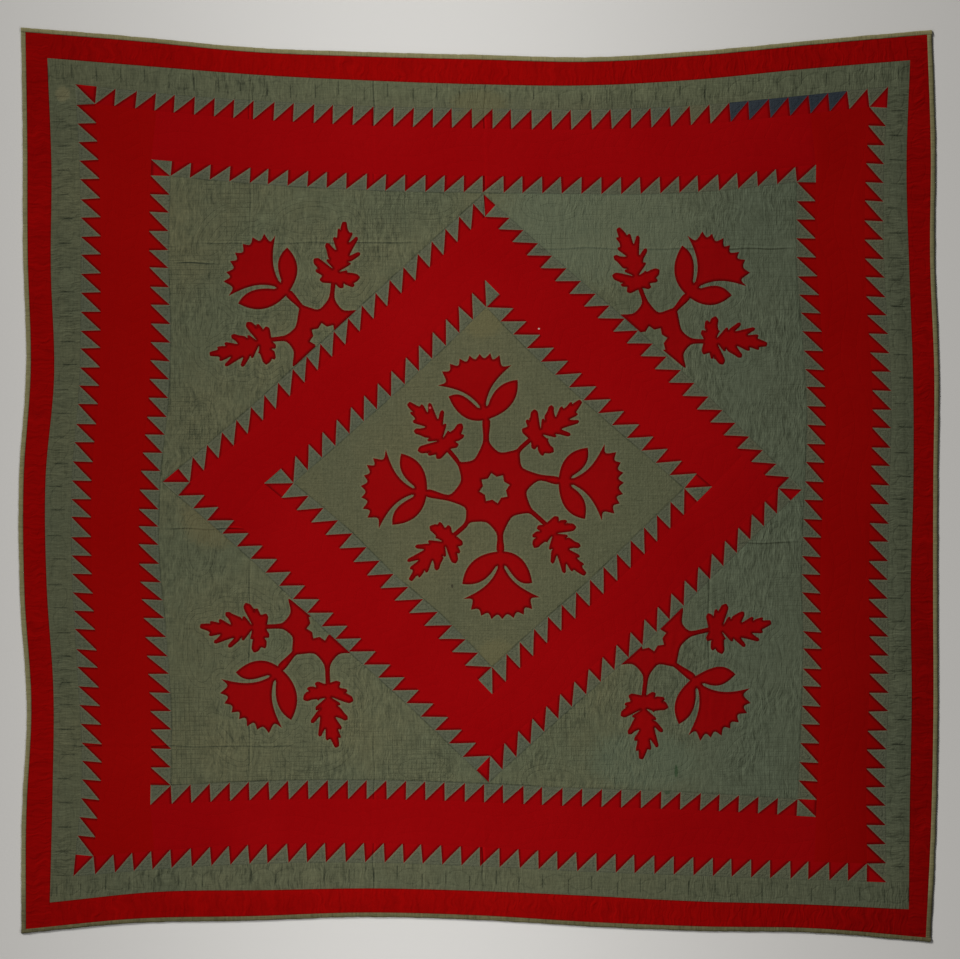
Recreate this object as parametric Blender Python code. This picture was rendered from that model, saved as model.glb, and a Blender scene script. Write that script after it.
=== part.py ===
"""Applique patchwork quilt, lying flat and face up.

Frame: +X to the quilt's right, +Y to its top, +Z up. The underside lies on
z = 0 and the origin is the middle of the underside's bounding rectangle.

The quilt is pieced from the middle outwards: a green square set on point, a
red diamond band between two sawtooth strips, four green corner triangles, a
wide red frame between two sawtooth strips, a green border, an outer red
border and a narrow binding folded over the edge. Red appliques lie on the
centre square and on the corner triangles. Every panel is quilted cloth, thin
at its seams and full in its middle. The seams are as uneven as hand piecing
and the lie of the cloth make them: each is a straight line between two
corners plus a sideways bow, read from the tables below.
"""
import math

import bmesh
import bpy
from mathutils import Vector
from mathutils.geometry import delaunay_2d_cdt

MM = 0.001

# ---------------------------------------------------------------- dimensions
SEAM_T = 2.6            # thickness of a panel at its seams, mm
CROWN_T = 3.8           # thickness of a panel where the batting is full, mm
RIM = 7.0               # width over which a panel thins towards its seams, mm
RIPPLE = 0.35           # height of the soft ripples along the strips, mm
RIPPLE_LENGTH = 190.0   # length of one ripple, mm
GAP = 0.3               # clearance between neighbouring pieces, mm
APPLIQUE_T = 0.8        # thickness of an applique with its turned edge, mm
BINDING_W = 10.5        # width of the binding on the face, mm
BINDING_SIDE_T = 2.2    # height of the binding's outer fold, mm
BINDING_T = 4.4         # height of the binding at its crown, mm
BINDING_RIM = 3.0       # width of the binding's rounded shoulders, mm
# Straight lengths that make up one seam: the sides wander more than the rest.
FRAME_STATIONS = {"top": 8, "right": 16, "bottom": 8, "left": 16}
DIAMOND_STATIONS = 4

# Corner points of each seam ring, mm from the quilt's middle.
# ring: top-left, top-right, bottom-right, bottom-left
FRAME_CORNERS = {
    "edge":        ((-1072, 1071), (1059, 1065), (1056, -1069), (-1071, -1049)),
    "red_border":  ((-1010, 999), (1008, 994), (1005, -992), (-1004, -976)),
    "saw_outer_a": ((-942, 934), (953, 929), (949, -925), (-946, -910)),
    "saw_outer_b": ((-900, 894), (913, 887), (907, -886), (-904, -869)),
    "saw_inner_a": ((-770, 764), (788, 752), (788, -774), (-771, -746)),
    "saw_inner_b": ((-728, 726), (747, 712), (749, -737), (-727, -705)),
}
# ring: top, right, bottom, left
DIAMOND_CORNERS = {
    "diamond_a": ((9, 678), (752, -10), (23, -692), (-739, 7)),
    "diamond_b": ((13, 625), (696, -7), (25, -630), (-675, 7)),
    "diamond_c": ((12, 483), (545, -2), (30, -490), (-507, 5)),
    "diamond_d": ((15, 423), (485, -7), (29, -431), (-442, 6)),
}

# Sideways bow of each frame seam at eighths of its length, mm, outwards +.
# (seam, side, 1/8, 2/8, 3/8, 4/8, 5/8, 6/8, 7/8)
FRAME_BOWS = (
    ("edge", "top", -21, -45, -55, -61, -66, -50, -24),
    ("edge", "right", 9, 8, 18, 16, 16, 17, 12),
    ("edge", "bottom", -19, -21, -29, -42, -46, -35, -27),
    ("edge", "left", -1, -13, 3, 5, -12, -5, -4),
    ("red_border", "top", -20, -39, -51, -59, -61, -47, -22),
    ("red_border", "right", -8, -1, 8, 9, 3, 6, 2),
    ("red_border", "bottom", -10, -15, -26, -35, -39, -33, -27),
    ("red_border", "left", -7, -10, 5, 7, -14, -7, -9),
    ("saw_outer", "top", -24, -40, -50, -54, -56, -47, -26),
    ("saw_outer", "right", -10, -6, 9, 6, 2, 5, -2),
    ("saw_outer", "bottom", -6, -13, -20, -30, -37, -34, -21),
    ("saw_outer", "left", -19, -9, 5, 6, -11, -14, -12),
    ("saw_inner", "top", -15, -25, -31, -32, -33, -32, -22),
    ("saw_inner", "right", -1, 13, 23, 17, 10, 13, 8),
    ("saw_inner", "bottom", -8, -13, -15, -20, -23, -21, -13),
    ("saw_inner", "left", -1, 11, 27, 25, 6, 0, 5),
)
# Sideways bow of each diamond seam at quarters of its length, mm, outwards +.
# (seam, side, 1/4, 2/4, 3/4)
DIAMOND_BOWS = (
    ("diamond_a", "ne", 5, 13, 10), ("diamond_a", "se", 6, 12, 4),
    ("diamond_a", "sw", -5, -3, -7), ("diamond_a", "nw", -7, -5, -2),
    ("diamond_b", "ne", 1, 8, 5), ("diamond_b", "se", 7, 12, 6),
    ("diamond_b", "sw", -1, 0, -5), ("diamond_b", "nw", -7, -4, -2),
    ("diamond_c", "ne", -8, -9, -6), ("diamond_c", "se", 5, 8, 1),
    ("diamond_c", "sw", -10, -5, -9), ("diamond_c", "nw", -4, -8, -7),
    ("diamond_d", "ne", -8, -8, -4), ("diamond_d", "se", 3, 6, 2),
    ("diamond_d", "sw", -9, -4, -8), ("diamond_d", "nw", -3, -5, -4),
)

# Appliques. Lengths in mm, angles in degrees anticlockwise from +X.
FAN_R = 104.0           # radius of a coxcomb's fan to its tips
FAN_HALF = 60.0         # half of the fan's opening angle
FAN_TIPS = 9            # points along the fan's edge
FAN_NOTCH = 14.0        # depth of the notches between them
STAR_OUT = 36.0         # star cut-out, to its points
STAR_IN = 27.0          # star cut-out, to its valleys
STAR_TURN = 12.0
# (motif, fan centre x, y, axis angle, left leaf reach, right leaf reach, neck)
FLOWERS = (
    ("centre", 5, 200, 105, 72, 94, 52),
    ("centre", 244, 8, -1.5, 78, 88, 64),
    ("centre", 52, -217, -88, 68, 94, 68),
    ("centre", -172, -13, 175, 82, 86, 54),
    ("tl", -486, 481, 142, 90, 82, 59),
    ("tr", 520, 481, 49.5, 84, 77, 59),
    ("br", 527, -485, -53.5, 84, 91, 49),
    ("bl", -494, -464, -129, 92, 76, 61),
)
# (motif, base x, base y, length, angle)
OAK_LEAVES = (
    ("centre", 125, 112, 142, 37), ("centre", -77, 88, 137, 130.5),
    ("centre", 157, -88, 152, -53), ("centre", -52, -107, 157, -133.5),
    ("tl", -343, 471, 148, 79), ("tl", -485, 343, 150, -166),
    ("tr", 377, 459, 152, 110), ("tr", 524, 337, 150, -3),
    ("br", 536, -336, 148, 6), ("br", 384, -491, 150, -92),
    ("bl", -496, -332, 157, 179), ("bl", -356, -463, 152, -81),
)
# One side of an oak leaf, in parts of its length: along the rib, off the rib.
OAK_SIDE = (
    ("base", 0.00, 0.035), ("heel", 0.00, 0.17), ("lobe", 0.11, 0.35),
    ("lobe", 0.22, 0.38), ("sinus", 0.23, 0.09), ("lobe", 0.46, 0.24),
    ("lobe", 0.57, 0.26), ("sinus", 0.54, 0.10), ("lobe", 0.75, 0.18),
    ("sinus", 0.73, 0.08), ("lobe", 0.88, 0.09),
)
# Medallions: the middle, then the arms that leave it, anticlockwise. An arm
# starts between two corners of the body, narrows to a throat and runs on to
# a flower's neck or into the foot of an oak leaf.
MEDALLIONS = {"centre": (36, -7), "tl": (-361, 344), "tr": (405, 337),
              "br": (402, -353), "bl": (-368, -328)}
THROAT_HALF = 5.5       # half the width of an arm at its throat
NECK_HALF = 11.0        # half the width of a flower's neck
# (motif, goes to, which, throat angle, throat distance,
#  first corner angle, distance, second corner angle, distance)
ARMS = (
    ("centre", "flower", 1, 14, 108, -6, 72, 37, 78),
    ("centre", "oak", 0, 57, 112, 54, 100, 60, 104),
    ("centre", "flower", 0, 100.5, 110, 82, 82, 126, 80),
    ("centre", "oak", 1, 143, 112, 143, 100, 149, 98),
    ("centre", "flower", 3, 193, 108, 168, 78, 214, 80),
    ("centre", "oak", 3, 232, 112, 227, 98, 234, 98),
    ("centre", "flower", 2, 277, 108, 257, 80, 302, 76),
    ("centre", "oak", 2, 327, 112, 324, 98, 332, 96),
    ("tl", "oak", 4, 80, 93, 56, 76, 102, 66),
    ("tl", "flower", 4, 127, 92, 120, 86, 134, 88),
    ("tl", "oak", 5, 180, 91, 160, 72, 203, 77),
    ("tr", "oak", 7, 0, 91, -23, 77, 20, 72),
    ("tr", "flower", 5, 54, 92, 47, 88, 61, 86),
    ("tr", "oak", 6, 100, 93, 78, 66, 124, 76),
    ("br", "oak", 9, -97, 93, -123, 76, -76, 66),
    ("br", "flower", 6, -50, 88, -57, 84, -43, 84),
    ("br", "oak", 8, 3, 91, -19, 72, 23, 77),
    ("bl", "oak", 10, 181, 91, 157, 77, 201, 72),
    ("bl", "flower", 7, 225, 92, 218, 88, 232, 86),
    ("bl", "oak", 11, 278, 93, 256, 66, 302, 76),
)
BODY_REACH = 106.0      # a half medallion's reach along the diamond's edge

# Cloth colours, as linear base colours.
CLOTH = {
    "red_cotton": (0.300, 0.004, 0.008, 1.0),
    "green_cotton": (0.105, 0.115, 0.062, 1.0),
    "red_applique": (0.320, 0.004, 0.008, 1.0),
    "binding_cotton": (0.120, 0.105, 0.055, 1.0),
}
ROUGHNESS = 0.92

FRAME_SIDES = {"top": (0, 1), "right": (1, 2), "bottom": (2, 3), "left": (3, 0)}
DIAMOND_SIDES = {"ne": (0, 1), "se": (1, 2), "sw": (2, 3), "nw": (3, 0)}


# -------------------------------------------------------------------- seams
def smooth_at(values, t):
    """A smooth curve through evenly spaced values, read at t from 0 to 1."""
    n = len(values) - 1
    x = min(max(t, 0.0), 1.0) * n
    i = min(int(x), n - 1)
    f = x - i
    p0 = values[i - 1] if i > 0 else 2 * values[0] - values[1]
    p1, p2 = values[i], values[i + 1]
    p3 = values[i + 2] if i + 2 <= n else 2 * values[n] - values[n - 1]
    return 0.5 * (2 * p1 + (p2 - p0) * f + (2 * p0 - 5 * p1 + 4 * p2 - p3) * f * f
                  + (3 * p1 - p0 - 3 * p2 + p3) * f ** 3)


def bowed(a, b, bows, stations):
    """Points of a seam from a to b, bowed to its left (outwards) by bows."""
    d = Vector(b) - Vector(a)
    out = Vector((-d.y, d.x)).normalized()
    values = [0.0] + list(bows) + [0.0]
    return [Vector(a) + d * (k / stations) + out * smooth_at(values, k / stations)
            for k in range(stations + 1)]


def frame_seam(ring, side):
    if ring == "binding":
        return [p for p in INSET_EDGE[side]]
    table = ring[:-2] if ring.startswith("saw") else ring
    i, j = FRAME_SIDES[side]
    bows = next(row[2:] for row in FRAME_BOWS if row[0] == table and row[1] == side)
    corners = FRAME_CORNERS[ring]
    return bowed(corners[i], corners[j], bows, FRAME_STATIONS[side])


def diamond_seam(ring, side):
    i, j = DIAMOND_SIDES[side]
    bows = next(row[2:] for row in DIAMOND_BOWS if row[0] == ring and row[1] == side)
    corners = DIAMOND_CORNERS[ring]
    return bowed(corners[i], corners[j], bows, DIAMOND_STATIONS)


def foot(points, p):
    """Where on a seam's stations, as a real number, p is nearest to it."""
    best, where = 1e9, 0.0
    for i in range(len(points) - 1):
        a, d = points[i], points[i + 1] - points[i]
        f = min(max((p - a).dot(d) / d.length_squared, 0.0), 1.0)
        dist = (a + d * f - p).length
        if dist < best:
            best, where = dist, i + f
    return where


def between(points, s0, s1):
    """The part of a seam from station s0 to station s1."""
    def at(s):
        i = min(int(s), len(points) - 2)
        return points[i].lerp(points[i + 1], s - i)
    inner = [points[i] for i in range(len(points)) if s0 + 0.05 < i < s1 - 0.05]
    return [at(s0)] + inner + [at(s1)]


def inset_edge():
    """The binding's inner line: the edge moved inwards by its width."""
    rings = {s: frame_seam("edge", s) for s in FRAME_SIDES}
    loop = []
    for s in ("top", "right", "bottom", "left"):
        loop += rings[s][:-1]
    moved = offset(loop[::-1], BINDING_W)[::-1]
    sides, k = {}, 0
    for s in ("top", "right", "bottom", "left"):
        sides[s] = [moved[(k + i) % len(moved)] for i in range(FRAME_STATIONS[s] + 1)]
        k += FRAME_STATIONS[s]
    return sides


# ----------------------------------------------------------------- outlines
def area(points):
    return 0.5 * sum(a.x * b.y - b.x * a.y
                     for a, b in zip(points, points[1:] + points[:1]))


def offset(points, d):
    """An anticlockwise outline moved inwards by d, corners kept sharp."""
    moved = []
    n = len(points)
    for i in range(n):
        a, p, b = points[i - 1], points[i], points[(i + 1) % n]
        u, v = (p - a).normalized(), (b - p).normalized()
        nu, nv = Vector((-u.y, u.x)), Vector((-v.y, v.x))
        moved.append(p + (nu + nv) * (d / max(1.0 + nu.dot(nv), 0.15)))
    return moved


def inside(p, points):
    hit = False
    for a, b in zip(points, points[1:] + points[:1]):
        if (a.y > p.y) != (b.y > p.y):
            if p.x < a.x + (b.x - a.x) * (p.y - a.y) / (b.y - a.y):
                hit = not hit
    return hit


def distance(p, points):
    best = 1e9
    for a, b in zip(points, points[1:] + points[:1]):
        d = b - a
        f = min(max((p - a).dot(d) / max(d.length_squared, 1e-9), 0.0), 1.0)
        best = min(best, (a + d * f - p).length)
    return best


def strip(outer, inner, prev_outer, next_outer, full):
    """Outline of a strip between two seams. A full strip runs on past its
    neighbours to the outer ring's corners; a short one butts between them."""
    if full:
        a = foot(prev_outer, inner[0])
        b = foot(next_outer, inner[-1])
        first = between(prev_outer, a, len(prev_outer) - 1)
        last = between(next_outer, 0, b)
        points = outer + last[1:] + inner[::-1] + first[:1]
    else:
        points = between(outer, foot(outer, inner[0]), foot(outer, inner[-1])) + inner[::-1]
    points = points[::-1] if area(points) < 0 else points
    return points


# ------------------------------------------------------------------- solids
def material(name):
    mat = bpy.data.materials.get(name)
    if mat is None:
        mat = bpy.data.materials.new(name)
        mat.use_nodes = True
        bsdf = mat.node_tree.nodes["Principled BSDF"]
        bsdf.inputs["Base Color"].default_value = CLOTH[name]
        bsdf.inputs["Roughness"].default_value = ROUGHNESS
        bsdf.inputs["Metallic"].default_value = 0.0
    return mat


def finish(bm, name, cloth):
    bmesh.ops.recalc_face_normals(bm, faces=bm.faces)
    mesh = bpy.data.meshes.new(name)
    bm.to_mesh(mesh)
    bm.free()
    mesh.materials.append(material(cloth))
    obj = bpy.data.objects.new(name, mesh)
    QUILT.objects.link(obj)
    return obj


def plan(p):
    """A point of the quilt's plan in metres, from the frame's origin."""
    return ((p.x - MIDDLE.x) * MM, (p.y - MIDDLE.y) * MM)


def panel(name, outline, cloth, crown=CROWN_T, seam=SEAM_T, rim=RIM, ripple=RIPPLE,
          phase=0.0):
    """A quilted panel: flat below, thin at its seams, full in its middle."""
    edge = offset(outline, GAP / 2)
    top = [p for p in offset(edge, rim)
           if inside(p, edge) and distance(p, edge) > rim * 0.97]
    points = edge + top
    loops = [list(range(len(edge))), list(range(len(edge), len(points)))]
    edges = [(loop[i - 1], loop[i]) for loop in loops for i in range(len(loop))]
    verts, _, faces, _, _, _ = delaunay_2d_cdt(points, edges, [], 0, 1e-5)
    heights = []
    for v in verts:
        full = distance(v, edge) > rim * 0.9
        wave = ripple * math.sin(2 * math.pi * (v.x + 0.7 * v.y) / RIPPLE_LENGTH + phase)
        heights.append(crown + wave if full else seam)
    bm = bmesh.new()
    made = [bm.verts.new((*plan(v), h * MM)) for v, h in zip(verts, heights)]
    for f in faces:
        middle = sum((verts[i] for i in f), Vector((0, 0))) / len(f)
        if inside(middle, edge):
            bm.faces.new([made[i] for i in f])
    bmesh.ops.delete(bm, geom=[v for v in bm.verts if not v.link_faces], context="VERTS")
    bottom = bmesh.ops.extrude_face_region(bm, geom=bm.faces[:])
    low = [v for v in bottom["geom"] if isinstance(v, bmesh.types.BMVert)]
    for v in low:
        v.co.z = 0.0
    flat = {e for v in low for e in v.link_edges if e.other_vert(v).co.z == 0.0}
    bmesh.ops.dissolve_limit(bm, angle_limit=0.001, verts=low, edges=list(flat),
                             use_dissolve_boundaries=False)
    return finish(bm, name, cloth)


def skin(name, shapes, holes, within, cloth):
    """An applique: the union of its cut shapes, less its holes, laid on a panel."""
    limit = offset(within, GAP)
    loops = [s if area(s) > 0 else s[::-1] for s in shapes]
    every = loops + holes + [limit]
    points, edges = [], []
    for loop in every:
        k = len(points)
        points += loop
        edges += [(k + i, k + (i + 1) % len(loop)) for i in range(len(loop))]
    verts, _, faces, _, _, _ = delaunay_2d_cdt(points, edges, [], 0, 1e-4)
    bm = bmesh.new()
    low = (CROWN_T + GAP) * MM
    made = [bm.verts.new((*plan(v), low)) for v in verts]
    for f in faces:
        middle = sum((verts[i] for i in f), Vector((0, 0))) / len(f)
        if (any(inside(middle, s) for s in loops) and inside(middle, limit)
                and not any(inside(middle, h) for h in holes)):
            bm.faces.new([made[i] for i in f])
    bmesh.ops.delete(bm, geom=[v for v in bm.verts if not v.link_faces], context="VERTS")
    bmesh.ops.dissolve_limit(bm, angle_limit=0.001, verts=bm.verts[:], edges=bm.edges[:],
                             use_dissolve_boundaries=False)
    raised = bmesh.ops.extrude_face_region(bm, geom=bm.faces[:])
    for v in raised["geom"]:
        if isinstance(v, bmesh.types.BMVert):
            v.co.z = low + APPLIQUE_T * MM
    return finish(bm, name, cloth)


# ------------------------------------------------------------------- motifs
def bend(a, c, b, steps):
    """Points from a to b on a curve pulled towards c."""
    a, b, c = Vector(a), Vector(b), Vector(c)
    return [a * (1 - t) ** 2 + c * 2 * t * (1 - t) + b * t * t
            for t in [k / steps for k in range(steps + 1)]]


def placed(points, x, y, angle):
    """Local points, whose +Y runs along angle, set at x, y."""
    turn = math.radians(angle - 90.0)
    c, s = math.cos(turn), math.sin(turn)
    return [Vector((x + p[0] * c - p[1] * s, y + p[0] * s + p[1] * c)) for p in points]


def flower(x, y, axis, left, right, neck):
    """A coxcomb: a fan with a notched edge and two leaves below it."""
    corner = (FAN_R * math.sin(math.radians(FAN_HALF)), FAN_R * math.cos(math.radians(FAN_HALF)))
    side = bend((8, -22), (33, 9), corner, 3)
    edge = []
    for k in range(2 * FAN_TIPS - 1):
        a = math.radians(FAN_HALF - k * FAN_HALF / (FAN_TIPS - 1))
        r = FAN_R - (FAN_NOTCH if k % 2 else 0.0)
        edge.append(Vector((r * math.sin(a), r * math.cos(a))))
    fan = [Vector((7, 8 - neck))] + side[:-1] + edge + [Vector((-p.x, p.y)) for p in side[:-1][::-1]]
    fan.append(Vector((-7, 8 - neck)))
    shapes = [fan]
    for sign, reach in ((1, right), (-1, left)):
        upper = bend((9, -26), (38, 8), (reach, 17), 3)
        lower = bend((reach, 17), (reach - 20, 20 - neck), (NECK_HALF, -neck), 3)
        leaf = [Vector((0, -32))] + upper + lower[1:] + [Vector((0, -neck))]
        shapes.append([Vector((sign * p.x, p.y)) for p in leaf])
    return [placed(s, x, y, axis) for s in shapes]


def oak_leaf(x, y, length, angle):
    half = [(off * length, along * length) for _, along, off in OAK_SIDE]
    outline = [(-a, b) for a, b in half] + [(0.0, length)] + half[::-1]
    return placed(outline, x, y, angle)


def medallion(motif):
    """The motif's body with its arms, as one anticlockwise outline."""
    middle = Vector(MEDALLIONS[motif])

    def spoke(angle, reach):
        a = math.radians(angle)
        return middle + Vector((math.cos(a), math.sin(a))) * reach

    outline = []
    rows = [row[1:] for row in ARMS if row[0] == motif]
    for kind, which, angle, reach, angle_a, reach_a, angle_b, reach_b in rows:
        if kind == "flower":
            _, x, y, axis, _, _, neck = FLOWERS[which]
            half, along, run = NECK_HALF, math.radians(axis), -neck + 2.0
        else:
            _, x, y, length, axis = OAK_LEAVES[which]
            half, along, run = THROAT_HALF, math.radians(axis), 0.12 * length
        way = Vector((math.cos(along), math.sin(along)))
        end, throat = Vector((x, y)) + way * run, spoke(angle, reach)
        way = (end - throat).normalized()
        side = Vector((-way.y, way.x))
        outline += [spoke(angle_a, reach_a), throat - side * THROAT_HALF,
                    end - side * half, end + side * half,
                    throat + side * THROAT_HALF, spoke(angle_b, reach_b)]
    if motif != "centre":
        first, last = rows[0][4] - 17.0, rows[-1][6] + 20.0
        outline = [middle, spoke(first, BODY_REACH)] + outline + [spoke(last, BODY_REACH)]
    return outline


def star(cx, cy):
    points = []
    for k in range(16):
        a = math.radians(STAR_TURN + k * 22.5)
        r = STAR_OUT if k % 2 == 0 else STAR_IN
        points.append(Vector((cx + r * math.cos(a), cy + r * math.sin(a))))
    return points


def motif_shapes(motif):
    shapes = [medallion(motif)]
    for row in FLOWERS:
        if row[0] == motif:
            shapes += flower(*row[1:])
    for row in OAK_LEAVES:
        if row[0] == motif:
            shapes.append(oak_leaf(*row[1:]))
    return shapes


# -------------------------------------------------------------------- build
for old in list(bpy.data.objects):
    bpy.data.objects.remove(old, do_unlink=True)

QUILT = bpy.data.collections.new("applique_patchwork_quilt")
bpy.context.scene.collection.children.link(QUILT)

everything = [p for s in FRAME_SIDES for p in frame_seam("edge", s)]
MIDDLE = Vector(((min(p.x for p in everything) + max(p.x for p in everything)) / 2,
                 (min(p.y for p in everything) + max(p.y for p in everything)) / 2))
INSET_EDGE = inset_edge()

# (name, outer ring, inner ring, sides that run full length, cloth)
FRAME_STRIPS = (
    ("binding", "edge", "binding", ("top", "bottom"), "binding_cotton"),
    ("red_border", "binding", "red_border", ("left", "right"), "red_cotton"),
    ("green_border", "red_border", "saw_outer_a", ("top", "bottom"), "green_cotton"),
    ("frame_outer_sawtooth", "saw_outer_a", "saw_outer_b", ("top", "bottom"), "red_cotton"),
    ("frame_band", "saw_outer_b", "saw_inner_a", ("left", "right"), "red_cotton"),
    ("frame_inner_sawtooth", "saw_inner_a", "saw_inner_b", ("top", "bottom"), "green_cotton"),
)
DIAMOND_STRIPS = (
    ("diamond_outer_sawtooth", "diamond_a", "diamond_b", ("nw", "se"), "red_cotton"),
    ("diamond_band", "diamond_b", "diamond_c", ("nw", "se"), "red_cotton"),
    ("diamond_inner_sawtooth", "diamond_c", "diamond_d", ("nw", "se"), "green_cotton"),
)


def ring_strips(rows, sides, seam):
    order = list(sides)
    for name, outer, inner, full, cloth in rows:
        for k, side in enumerate(order):
            outline = strip(seam(outer, side), seam(inner, side), seam(outer, order[k - 1]),
                            seam(outer, order[(k + 1) % 4]), side in full)
            if name == "binding":
                panel(name + "_" + side, outline, cloth, crown=BINDING_T,
                      seam=BINDING_SIDE_T, rim=BINDING_RIM, ripple=0.2, phase=k)
            else:
                panel(name + "_" + side, outline, cloth, phase=1.3 * k)


ring_strips(FRAME_STRIPS, FRAME_SIDES, frame_seam)
ring_strips(DIAMOND_STRIPS, DIAMOND_SIDES, diamond_seam)

# The green centre square and the four corner triangles.
centre_outline = []
for side in DIAMOND_SIDES:
    centre_outline += diamond_seam("diamond_d", side)[:-1]
centre_outline = centre_outline[::-1]
panel("centre_square", centre_outline, "green_cotton", ripple=0.0)

# (corner, frame side that ends there, frame side that starts there, diamond side)
TRIANGLES = (("tl", "left", "top", "nw"), ("tr", "top", "right", "ne"),
             ("br", "right", "bottom", "se"), ("bl", "bottom", "left", "sw"))
triangle_outline = {}
for corner, ends, starts, side in TRIANGLES:
    long_side = diamond_seam("diamond_a", side)
    before, after = frame_seam("saw_inner_b", ends), frame_seam("saw_inner_b", starts)
    outline = between(before, foot(before, long_side[0]), len(before) - 1)
    outline += between(after, 0, foot(after, long_side[-1]))[1:]
    outline += long_side[::-1]
    outline = outline[::-1] if area(outline) < 0 else outline
    triangle_outline[corner] = outline
    panel("corner_triangle_" + corner, outline, "green_cotton", ripple=0.0)

# The appliques, each with its star cut out of the medallion's middle.
skin("applique_centre", motif_shapes("centre"), [star(*MEDALLIONS["centre"])],
     centre_outline, "red_applique")
for corner in triangle_outline:
    skin("applique_" + corner, motif_shapes(corner), [star(*MEDALLIONS[corner])],
         triangle_outline[corner], "red_applique")
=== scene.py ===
"""Looks of the applique patchwork quilt: pieced, appliqued and hand quilted
cotton, lying flat and face up.

Plan sizes are in mm from the quilt's middle, +X to its right and +Y to its
top; plan() turns them into the frame's metres. Heights are in mm above the
surface that the quilt lies on.
"""
import math

import bpy
import numpy as np
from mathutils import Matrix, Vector
from mathutils.geometry import delaunay_2d_cdt


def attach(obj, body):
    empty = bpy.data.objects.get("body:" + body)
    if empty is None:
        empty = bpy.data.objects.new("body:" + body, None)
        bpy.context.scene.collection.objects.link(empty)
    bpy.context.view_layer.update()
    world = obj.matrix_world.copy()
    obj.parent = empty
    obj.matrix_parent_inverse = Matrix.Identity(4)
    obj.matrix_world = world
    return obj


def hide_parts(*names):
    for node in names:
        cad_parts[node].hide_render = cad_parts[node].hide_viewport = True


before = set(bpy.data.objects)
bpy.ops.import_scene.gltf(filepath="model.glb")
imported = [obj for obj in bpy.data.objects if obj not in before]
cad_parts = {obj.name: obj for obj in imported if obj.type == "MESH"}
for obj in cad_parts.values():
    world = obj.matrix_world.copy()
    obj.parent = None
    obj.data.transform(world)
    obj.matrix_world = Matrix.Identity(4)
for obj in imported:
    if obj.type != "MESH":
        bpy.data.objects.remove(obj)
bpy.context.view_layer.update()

MM = 0.001
CELL = 4.3              # size of the meshes' cells, mm
SAW_CELLS = 8           # cells along the side of a sawtooth square
SEAM_Z = 3.7            # height of the face in a seam, mm
CROWN_Z = 4.1           # height of the face between seams, mm
SEAM_RUN = 6.0          # how soon the batting fills out beside a seam, mm
BINDING_W = 11.0        # width of the binding on the face, mm
LINK = 57.0             # length of an oval quilted in the green border, mm

# ------------------------------------------------------------------- layout
# ring: top-left, top-right, bottom-right, bottom-left
FRAME_CORNERS = {
    "edge":        ((-1072, 1071), (1059, 1065), (1056, -1069), (-1071, -1049)),
    "red_border":  ((-1010, 999), (1008, 994), (1005, -992), (-1004, -976)),
    "saw_outer_a": ((-945, 938), (957, 933), (953, -929), (-949, -915)),
    "saw_outer_b": ((-898, 892), (913, 885), (907, -885), (-902, -868)),
    "saw_inner_a": ((-767, 762), (788, 750), (788, -776), (-769, -748)),
    "saw_inner_b": ((-722, 723), (743, 709), (745, -734), (-721, -702)),
}
# ring: top, right, bottom, left
DIAMOND_CORNERS = {
    "diamond_a": ((10, 681), (755, -10), (23, -695), (-741, 7)),
    "diamond_b": ((14, 628), (700, -7), (26, -633), (-677, 7)),
    "diamond_c": ((14, 480), (545, -3), (31, -489), (-503, 4)),
    "diamond_d": ((17, 416), (480, -7), (30, -425), (-434, 5)),
}
# Sideways bow of each frame seam at eighths of its length, mm, outwards +.
# (seam, side, 1/8, 2/8, 3/8, 4/8, 5/8, 6/8, 7/8)
FRAME_BOWS = (
    ("edge", "top", -21, -45, -55, -61, -66, -50, -24),
    ("edge", "right", 9, 8, 18, 16, 16, 17, 12),
    ("edge", "bottom", -19, -21, -29, -42, -46, -35, -27),
    ("edge", "left", -1, -13, 3, 5, -12, -5, -4),
    ("red_border", "top", -20, -39, -51, -59, -61, -47, -22),
    ("red_border", "right", -8, -1, 8, 9, 3, 6, 2),
    ("red_border", "bottom", -10, -15, -26, -35, -39, -33, -27),
    ("red_border", "left", -7, -10, 5, 7, -14, -7, -9),
    ("saw_outer", "top", -24, -40, -50, -54, -56, -47, -26),
    ("saw_outer", "right", -10, -6, 9, 6, 2, 5, -2),
    ("saw_outer", "bottom", -6, -13, -20, -30, -37, -34, -21),
    ("saw_outer", "left", -19, -9, 5, 6, -11, -14, -12),
    ("saw_inner", "top", -15, -25, -31, -32, -33, -32, -22),
    ("saw_inner", "right", -1, 13, 23, 17, 10, 13, 8),
    ("saw_inner", "bottom", -8, -13, -15, -20, -23, -21, -13),
    ("saw_inner", "left", -1, 11, 27, 25, 6, 0, 5),
)
# Sideways bow of each diamond seam at quarters of its length, mm, outwards +.
DIAMOND_BOWS = (
    ("diamond_a", "ne", 5, 13, 10), ("diamond_a", "se", 6, 12, 4),
    ("diamond_a", "sw", -5, -3, -7), ("diamond_a", "nw", -7, -5, -2),
    ("diamond_b", "ne", 1, 8, 5), ("diamond_b", "se", 7, 12, 6),
    ("diamond_b", "sw", -1, 0, -5), ("diamond_b", "nw", -7, -4, -2),
    ("diamond_c", "ne", -8, -9, -6), ("diamond_c", "se", 5, 8, 1),
    ("diamond_c", "sw", -10, -5, -9), ("diamond_c", "nw", -4, -8, -7),
    ("diamond_d", "ne", -8, -8, -4), ("diamond_d", "se", 3, 6, 2),
    ("diamond_d", "sw", -9, -4, -8), ("diamond_d", "nw", -3, -5, -4),
)
FRAME_SIDES = {"top": (0, 1), "right": (1, 2), "bottom": (2, 3), "left": (3, 0)}
DIAMOND_SIDES = {"ne": (0, 1), "se": (1, 2), "sw": (2, 3), "nw": (3, 0)}
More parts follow.
